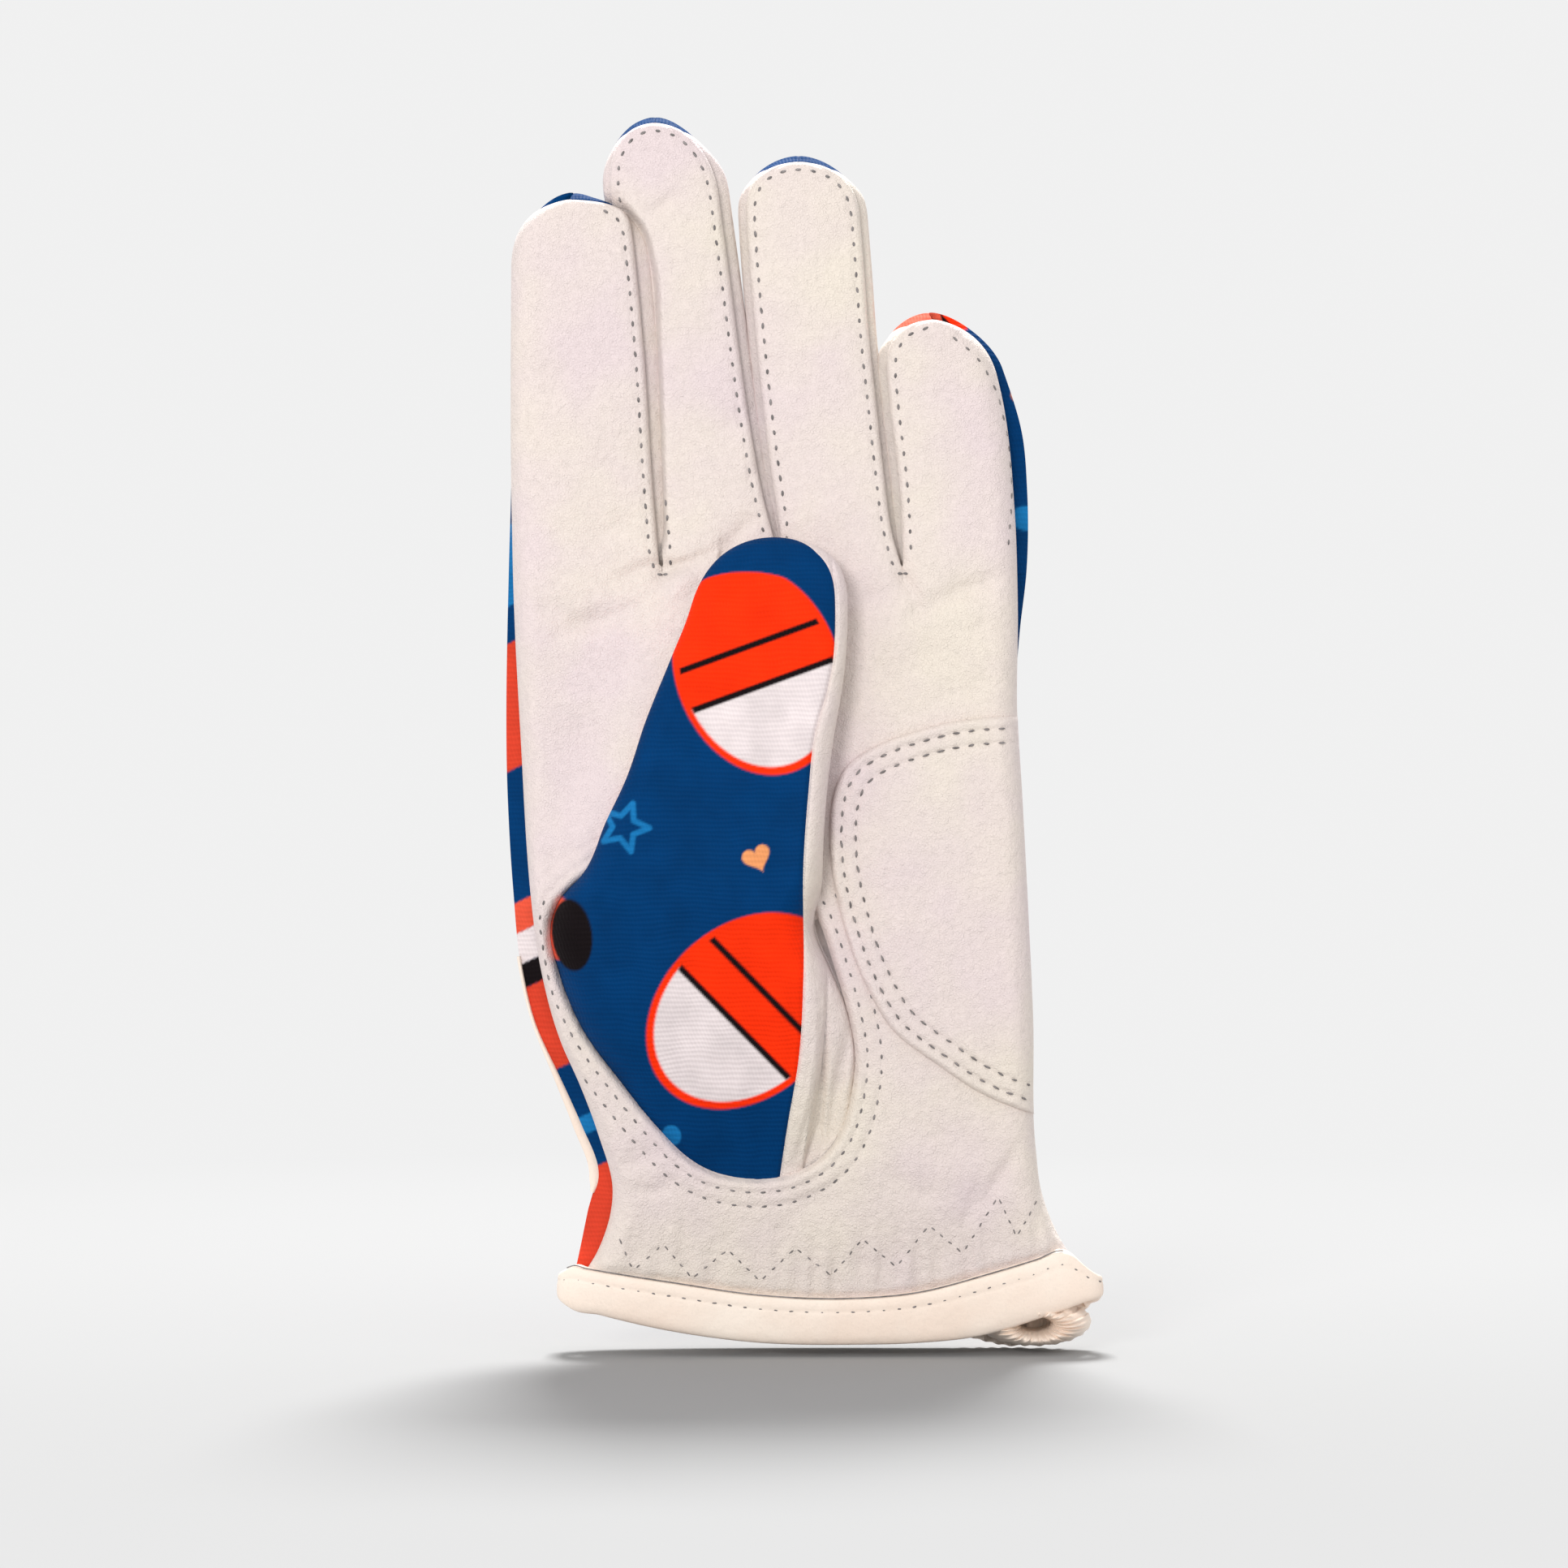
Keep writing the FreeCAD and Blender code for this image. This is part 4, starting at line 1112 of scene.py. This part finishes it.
def make_slit_binding(material):
    """The cream tape folded over the edges of the slit in the back."""
    x_left, x_right = -13.6, -5.4
    arc = [(-9.5 + 4.1 * math.cos(t), 57.6 + 4.6 * math.sin(t)) for t in np.linspace(math.pi, 0, 15)]
    line = even(np.array([(x_left, 13.0)] + arc + [(x_right, 13.0)]), 0.7)
    y = knit_y(line[:, 0], line[:, 1])
    calm = np.convolve(np.pad(y, 6, "edge"), np.ones(13) / 13, "valid")
    path = np.stack([line[:, 0], calm + 0.1, line[:, 1]], -1)
    profile = closed_curve(((-1.9, -0.3), (-1.6, 0.45), (-0.6, 0.62), (0, 0.5), (0.6, 0.62), (1.6, 0.45),
                            (1.9, -0.3), (0, -0.5)), 0.25)
    normals = np.tile([0, 1.0, 0], (len(path), 1))
    grid = swept(path, normals, np.vstack([profile, profile[:1]]))
    lay("slit_binding_tape", [(grid, False, None)], material, "hand", "cream_binding", "slit_binding")


def make_side_piping(material):
    """The narrow cream edge that shows beside the knit on the thumb's side of the wrist."""
    z = np.linspace(26, 68, 80)
    size = 0.35 + 0.75 * step(58, 28, z) * (1 - step(29, 25.5, z))
    path = np.stack([KNIT_LEFT(z) - 0.1, np.full(80, 1.9), z], -1)
    lay("side_piping", [(tube(path, size, 0.6), True, None)], material, "hand", "cream_binding")


def tube(path, across, deep):
    """A grid of rings round a path that runs across or up the glove."""
    along = np.gradient(path, axis=0)
    along /= np.linalg.norm(along, axis=1, keepdims=True)
    side = np.cross(along, (0, 1, 0))
    turn = np.linspace(0, 2 * math.pi, TUBE_POINTS)
    across = np.reshape(across, (-1, 1, 1))
    grid = path[:, None] + side[:, None] * across * np.cos(turn)[None, :, None]
    grid[..., 1] += deep * np.sin(turn)[None, :]
    return grid


GATHER = (36.2, 2.9)       # the middle of the opening in the bunched end of the binding


def make_cuff_gather(material):
    """The bunched end of the binding behind the cuff's corner on the little finger's side."""
    turn = np.linspace(0, 2 * math.pi, 301)
    out = np.linspace(0, 1, 40)[:, None]
    pleat = np.sin(23 * turn + 1.5 * np.sin(3 * turn)) + 0.4 * np.sin(41 * turn + 2)
    wide = 2.6 + 7.6 * out
    tall = 1.2 + 3.1 * out
    x = GATHER[0] + wide * np.cos(turn)
    z = GATHER[1] + tall * np.sin(turn) + 0.12 * pleat * out
    y = 3.5 - 9.8 * np.sin(math.pi * out ** 0.7) ** 0.7 - 0.38 * pleat * np.sin(math.pi * out ** 0.8)
    lay("cuff_gather", [(np.stack([x, y, z], -1), False, None)], material, "hand", "cream_binding")


def pad(name, low, high, near, thick, corner, material, wave=0.0):
    """A flat piece with rounded corners and edges, standing on the plane y = near."""
    x0, z0, x1, z1 = *low, *high
    corners = []
    for cx, cz, start in ((x1 - corner, z1 - corner, 0), (x0 + corner, z1 - corner, 90),
                          (x0 + corner, z0 + corner, 180), (x1 - corner, z0 + corner, 270)):
        for k in range(9):
            turn = math.radians(start + 90 * k / 8)
            corners.append((cx + corner * math.cos(turn), cz + corner * math.sin(turn)))
    outline = even(np.array(corners), 0.8, closed=True)
    middle = np.array([(x0 + x1) / 2, (z0 + z1) / 2])
    edge = thick * 0.45
    rings = [(0.0005, 0.0, 0.0), (0.5, 0.0, 0.0), (1.0, edge, 0.0), (1.0, edge * 0.3, 0.12), (1.0, 0, 0.35),
             (1.0, 0, 0.65), (1.0, edge * 0.3, 0.88), (1.0, edge, 1.0), (1.0, 1.6, 0.94),
             (1.0, 2.2, 0.82), (1.0, 2.8, 0.94), (1.0, 3.6, 1.0), (0.6, 0, 1.0), (0.3, 0, 1.0),
             (0.0005, 0, 1.0)]
    inward = middle - outline
    inward /= np.linalg.norm(inward, axis=1, keepdims=True)
    grid = []
    for share, back_off, height in rings:
        spot = middle + (outline - middle) * share + inward * back_off
        lift = near + thick * height + wave * np.sin(spot[:, 0] / 7) * np.cos(spot[:, 1] / 9)
        grid.append(np.stack([spot[:, 0], lift, spot[:, 1]], -1))
    grid = np.array(grid)
    grid = np.concatenate([grid, grid[:, :1]], 1)
    normals = grid_normals(grid)
    outward = 1 if normals[4, 0] @ (grid[4, 0] - np.array([middle[0], near, middle[1]])) > 0 else -1
    return make_piece(name, grid.reshape(-1, 3), grid_faces(*grid.shape[:2], flip=outward < 0), material,
                      (normals * outward).reshape(-1, 3))


def make_closure(tab_leather, loop, hook, thread):
    """The pad on the hand, and the tab that closes over it."""
    low, high = box_mm("loop_patch")
    piece = pad("loop_pad", (low[0], low[2]), (high[0], high[2]), low[1], high[1] - low[1], 3, loop)
    place(piece, "hand", "loop", "loop_patch")
    low, high = box_mm("hook_patch")
    piece = pad("hook_pad", (low[0], low[2]), (high[0], high[2]), low[1], high[1] - low[1], 3, hook)
    place(piece, "tab", "hook", "hook_patch")
    low, high = box_mm("closure_tab")
    piece = pad("tab_leather_flap", (low[0], low[2]), (high[0], high[2]), low[1], high[1] - low[1] - 0.3, 8,
                tab_leather, 0.12)
    place(piece, "tab", "tab_leather", "closure_tab")
    x0, x1, z0, z1 = low[0] + 2.2, high[0] - 2.2, low[2] + 2.2, high[2] - 2.2
    ring = [(x0 + 6, z0), (x1 - 6, z0), (x1, z0 + 6), (x1, z1 - 6), (x1 - 6, z1), (x0 + 6, z1), (x0, z1 - 6),
            (x0, z0 + 6), (x0 + 6, z0)]
    level = high[1] - 0.55
    seam([ring], lambda x, z: np.full(np.shape(x), level), "tab_stitches", "tab", thread)


def make_tapes(material):
    """The gathered elastic inside the wrist, front and back."""
    for name, wall_y in (("wrist_elastic", -1), ("back_elastic", 1)):
        low, high = box_mm(name)
        x = np.linspace(low[0], high[0], 240)[None, :]
        z = np.linspace(low[2] + 0.4, high[2] - 0.4, 14)[:, None]
        x, z = np.broadcast_arrays(x, z)
        y = 3.6 * wall_y + 0.2 * np.sin(2 * math.pi * x / 2.6)
        front = np.stack([x, y - 0.25, z], -1)
        rear = np.stack([x, y + 0.25, z], -1)
        lay(f"{name}_tape", [(front, False, None), (rear, True, None)], material, "hand", "elastic", name)


# ---------------------------------------------------------------- materials

SOCKETS = {"base": "Base Color", "rough": "Roughness", "specular": "Specular IOR Level",
           "sheen": "Sheen Weight", "sheen_rough": "Sheen Roughness"}


class Nodes:
    """A material being built from nodes."""

    def __init__(self, name):
        self.material = bpy.data.materials.new(name)
        self.material.use_nodes = True
        self.tree = self.material.node_tree
        self.shader = self.tree.nodes["Principled BSDF"]

    def add(self, kind, inputs=(), **settings):
        """A node with its settings, and its inputs as values or other nodes' outputs."""
        node = self.tree.nodes.new(kind)
        for key, value in settings.items():
            setattr(node, key, value)
        for key, value in dict(inputs).items():
            self.set(node.inputs[key], value)
        return node

    def set(self, socket, value):
        """Gives a socket a value, or links it."""
        if isinstance(value, bpy.types.NodeSocket):
            self.tree.links.new(value, socket)
        else:
            socket.default_value = value

    def rest(self):
        """The piece's own resting place, in millimetres."""
        return self.add("ShaderNodeAttribute", attribute_name="rest").outputs["Vector"]

    def noise(self, vector, scale, detail=2.0, rough=0.5):
        """Cloudy noise."""
        node = self.add("ShaderNodeTexNoise", {"Vector": vector, "Scale": scale, "Detail": detail,
                                               "Roughness": rough})
        return node.outputs["Fac"]

    def math(self, operation, a, b=0.0):
        """Arithmetic on two values."""
        node = self.add("ShaderNodeMath", operation=operation)
        self.set(node.inputs[0], a)
        self.set(node.inputs[1], b)
        return node.outputs[0]

    def spread(self, value, low, high, to_low, to_high):
        """Maps a range of values to another."""
        node = self.add("ShaderNodeMapRange", {"Value": value, "From Min": low, "From Max": high,
                                               "To Min": to_low, "To Max": to_high})
        return node.outputs["Result"]

    def mix(self, share, a, b, blend="MIX"):
        """Mixes two colours."""
        node = self.add("ShaderNodeMix", data_type="RGBA", blend_type=blend)
        self.set(node.inputs["Factor"], share)
        self.set(node.inputs["A"], a)
        self.set(node.inputs["B"], b)
        return node.outputs["Result"]

    def colour_by(self, base, light):
        """Sets the shader's colour: a base made lighter or darker by a value."""
        tint = self.add("ShaderNodeCombineColor", {"Red": light, "Green": light, "Blue": light}).outputs[0]
        self.set(self.shader.inputs["Base Color"], self.mix(1.0, base, tint, "MULTIPLY"))

    def settle(self, **values):
        """Sets the shader's own sockets to plain values, by the short names in SOCKETS."""
        for key, value in values.items():
            self.shader.inputs[SOCKETS[key]].default_value = value

    def bump(self, height, distance, strength=1.0, before=None):
        """Raises the surface by a height in metres."""
        node = self.add("ShaderNodeBump", {"Height": height, "Distance": distance, "Strength": strength})
        if before is not None:
            self.set(node.inputs["Normal"], before)
        return node.outputs["Normal"]


def colour4(rgb):
    """A colour with its alpha."""
    return (*map(float, rgb), 1.0)


def leather_material(name, colour, shade, grain=0.75):
    """Soft full-grain leather: pebbled grain, fine creases, faint uneven colour, and painted shade in the
    hollows of the wrinkles.
    """
    m = Nodes(name)
    rest = m.rest()
    drift = m.noise(rest, 0.035, 3.0)
    uneven = m.spread(drift, 0.35, 0.65, 0.0, 1.0)
    base = m.mix(uneven, colour4(colour), colour4(shade))
    cells = m.add("ShaderNodeTexVoronoi", {"Vector": rest, "Scale": 1.5 / grain, "Randomness": 1.0},
                  feature="DISTANCE_TO_EDGE")
    pores = m.spread(cells.outputs["Distance"], 0.0, 0.22, 0.0, 1.0)
    fine = m.noise(rest, 3.6, 3.0, 0.6)
    wrinkle = m.noise(rest, 0.55, 4.0, 0.62)
    # painted shade: the colour is made darker where the wrinkle bump is low, in the creases' hollows
    wrinkle_shade = m.spread(wrinkle, 0.3, 0.6, 0.955, 1.0)
    m.colour_by(base, wrinkle_shade)
    m.set(m.shader.inputs["Roughness"], m.spread(fine, 0.3, 0.7, 0.47, 0.60))
    m.settle(specular=0.32, sheen=0.12, sheen_rough=0.5)
    first = m.bump(wrinkle, 0.0006, 0.8)
    second = m.bump(pores, 0.00009, 0.6, first)
    m.set(m.shader.inputs["Normal"], m.bump(fine, 0.00007, 0.5, second))
    return m.material


def knit_material(name):
    """The printed knit: fine ribs across, rows of loops, the print in its colour attribute."""
    m = Nodes(name)
    rest = m.rest()
    parts = m.add("ShaderNodeSeparateXYZ", {0: rest})
    wander = m.math("MULTIPLY", m.noise(rest, 0.09, 2.0), 5.0)
    level = m.math("ADD", parts.outputs["Z"], m.math("MULTIPLY", wander, 0.5))
    across = m.math("ADD", parts.outputs["X"], m.math("MULTIPLY", wander, 0.25))
    rib = m.math("SINE", m.math("MULTIPLY", level, 2 * math.pi / 0.85))
    loops = m.math("SINE", m.math("MULTIPLY", across, 2 * math.pi / 0.6))
    shift = m.math("SINE", m.math("ADD", m.math("MULTIPLY", across, 2 * math.pi / 0.6),
                                  m.math("MULTIPLY", level, math.pi / 0.85)))
    weave = m.math("ADD", rib, m.math("MULTIPLY", shift, 0.55))
    cloth = m.add("ShaderNodeAttribute", attribute_name="print").outputs["Color"]
    patchy = m.noise(rest, 0.16, 3.0)
    light = m.math("MULTIPLY", m.spread(weave, -1.5, 1.5, 0.90, 1.03), m.spread(patchy, 0.3, 0.7, 0.88, 1.08))
    m.colour_by(cloth, light)
    m.set(m.shader.inputs["Roughness"], m.spread(loops, -1, 1, 0.62, 0.72))
    m.settle(specular=0.04, sheen=0.01, sheen_rough=0.4)
    m.set(m.shader.inputs["Normal"], m.bump(weave, 0.00005, 0.6))
    return m.material


def binding_material(name):
    """Smooth cream coated tape with a faint grain and scuffs."""
    m = Nodes(name)
    rest = m.rest()
    wide = m.noise(rest, 0.07, 3.0)
    base = m.mix(m.spread(wide, 0.35, 0.65, 0.0, 1.0), colour4(CREAM), colour4(CREAM * (0.97, 0.92, 0.90)))
    fine = m.noise(rest, 2.4, 4.0, 0.6)
    marks = m.spread(fine, 0.25, 0.5, 0.94, 1.0)
    m.colour_by(base, marks)
    m.set(m.shader.inputs["Roughness"], m.spread(fine, 0.3, 0.7, 0.42, 0.56))
    m.settle(specular=0.35)
    m.set(m.shader.inputs["Normal"], m.bump(m.noise(rest, 0.5, 4.0), 0.0003, 0.5, m.bump(fine, 0.00006, 0.5)))
    return m.material


def thread_material(name):
    """Twisted sewing thread."""
    m = Nodes(name)
    rest = m.rest()
    parts = m.add("ShaderNodeSeparateXYZ", {0: rest})
    lay = m.math("ADD", parts.outputs["X"], parts.outputs["Z"])
    twist = m.math("SINE", m.math("MULTIPLY", lay, 2 * math.pi / 0.3))
    spotty = m.noise(rest, 0.9, 2.0)
    base = m.mix(m.spread(twist, -1, 1, 0.0, 1.0), colour4(tone(112, 106, 106)), colour4(tone(160, 154, 152)))
    darker = m.spread(spotty, 0.35, 0.65, 0.55, 1.1)
    m.colour_by(base, darker)
    m.settle(rough=0.75)
    m.set(m.shader.inputs["Normal"], m.bump(twist, 0.00003, 0.6))
    return m.material


def fibre_material(name, colour, pitch, height):
    """Rows of loops, hooks or elastic ribs."""
    m = Nodes(name)
    rest = m.rest()
    parts = m.add("ShaderNodeSeparateXYZ", {0: rest})
    rows = m.math("SINE", m.math("MULTIPLY", parts.outputs["Z"], 2 * math.pi / pitch))
    columns = m.math("SINE", m.math("MULTIPLY", parts.outputs["X"], 2 * math.pi / pitch))
    pile = m.math("ADD", m.math("MULTIPLY", rows, columns), m.noise(rest, 2.2, 3.0, 0.7))
    shade = m.spread(pile, -0.6, 1.6, 0.6, 1.1)
    m.colour_by(colour4(colour), shade)
    m.settle(rough=0.9, sheen=0.3)
    m.set(m.shader.inputs["Normal"], m.bump(pile, height, 0.8))
    return m.material


CREAM = tone(243, 229, 215)
IVORY = tone(227, 216, 203)
IVORY_SHADE = tone(222, 206, 206)


# ---------------------------------------------------------------- stage and camera

CAMERA_LENS = 100.0
FRAME_SIZE = 276.0         # how much of the scene the picture takes in, mm
FRAME_CENTRE = (-8.4, 98.7)
PALENESS = 0.875           # how bright the background is
FLOOR_TONE = 0.345
KEY_POWER = 15.0
BACK_POWER = 33.0
FLOOR = -0.0022            # metres: the glove stands on its cuff


def make_camera():
    """A long lens, straight on to the palm."""
    data = bpy.data.cameras.new("camera")
    data.lens = CAMERA_LENS
    data.sensor_width = 36.0
    camera = bpy.data.objects.new("camera", data)
    away = FRAME_SIZE / 2 / (data.sensor_width / 2 / data.lens)
    camera.location = (FRAME_CENTRE[0] * MM, -(away + HAND_DEPTH) * MM, FRAME_CENTRE[1] * MM)
    camera.rotation_euler = (math.pi / 2, 0, 0)
    bpy.context.scene.collection.objects.link(camera)
    bpy.context.scene.camera = camera


def add_light(name, spot, aim, size, power):
    """A soft square area light."""
    data = bpy.data.lights.new(name, "AREA")
    data.shape = "SQUARE"
    data.size = size
    data.energy = power
    light = bpy.data.objects.new(name, data)
    light.location = spot
    light.rotation_euler = (Vector(aim) - Vector(spot)).to_track_quat("-Z", "Y").to_euler()
    bpy.context.scene.collection.objects.link(light)


def make_floor():
    """A wide pale floor that fades into the background far from the glove."""
    rings, around = 24, 96
    verts = [(0.0, 0.0, FLOOR)]
    for k in range(1, rings + 1):
        radius = 6.0 * (k / rings) ** 1.5
        turns = np.arange(around) * 2 * math.pi / around
        verts += [(radius * math.cos(t), radius * math.sin(t), FLOOR) for t in turns]
    faces = [(0, 1 + j, 1 + (j + 1) % around) for j in range(around)]
    for k in range(rings - 1):
        for j in range(around):
            a, b, n = 1 + k * around, 1 + (k + 1) * around, (j + 1) % around
            faces.append((a + j, b + j, b + n, a + n))
    mesh = bpy.data.meshes.new("floor")
    mesh.from_pydata(verts, [], faces)
    floor = bpy.data.objects.new("floor", mesh)
    m = Nodes("pale_floor")
    spot = m.add("ShaderNodeTexCoord").outputs["Object"]
    away = m.add("ShaderNodeVectorMath", {0: spot}, operation="LENGTH").outputs["Value"]
    glow = m.add("ShaderNodeEmission", {"Color": colour4((PALENESS,) * 3), "Strength": 1.0})
    mixer = m.add("ShaderNodeMixShader", {0: m.spread(away, 0.10, 0.42, 0.0, 1.0), 1: m.shader.outputs[0],
                                          2: glow.outputs[0]})
    m.set(m.tree.nodes["Material Output"].inputs["Surface"], mixer.outputs[0])
    m.settle(base=colour4((FLOOR_TONE,) * 3), rough=0.95, specular=0.0)
    mesh.materials.append(m.material)
    bpy.context.scene.collection.objects.link(floor)


def make_stage():
    """The floor, an even pale sky and two soft lights."""
    make_floor()
    world = bpy.data.worlds.new("pale_world")
    world.use_nodes = True
    world.node_tree.nodes["Background"].inputs["Color"].default_value = colour4((PALENESS,) * 3)
    world.node_tree.nodes["Background"].inputs["Strength"].default_value = 1.0
    bpy.context.scene.world = world
    bpy.context.scene.view_settings.view_transform = "Standard"
    add_light("key", (-0.62, -1.6, 0.6), (-0.01, 0, 0.1), 0.5, KEY_POWER)
    add_light("back", (0.0, 0.6, 1.27), (-0.01, 0, 0.0), 0.4, BACK_POWER)


# ---------------------------------------------------------------- the scene

def main():
    """Builds every piece, the stage and the camera."""
    palm_leather = leather_material("palm_leather", IVORY, IVORY_SHADE)
    side_leather = leather_material("fourchette_leather", IVORY, IVORY_SHADE, grain=0.6)
    tab_leather = leather_material("tab_leather", IVORY, IVORY_SHADE, grain=0.9)
    knit = knit_material("printed_knit")
    cream = binding_material("cream_binding")
    thread = thread_material("thread")
    edges = make_leather(palm_leather)
    make_sides(edges, side_leather, knit)
    make_thumb(palm_leather, knit)
    make_patch(palm_leather)
    make_cuff(cream, thread)
    make_stitches(thread)
    make_slit_binding(cream)
    make_side_piping(cream)
    make_cuff_gather(cream)
    make_closure(tab_leather, fibre_material("loop", tone(226, 222, 216), 0.9, 0.0003),
                 fibre_material("hook", tone(214, 212, 208), 1.1, 0.0004), thread)
    make_tapes(fibre_material("elastic", tone(232, 228, 222), 1.3, 0.0003))
    make_stage()
    make_camera()


main()
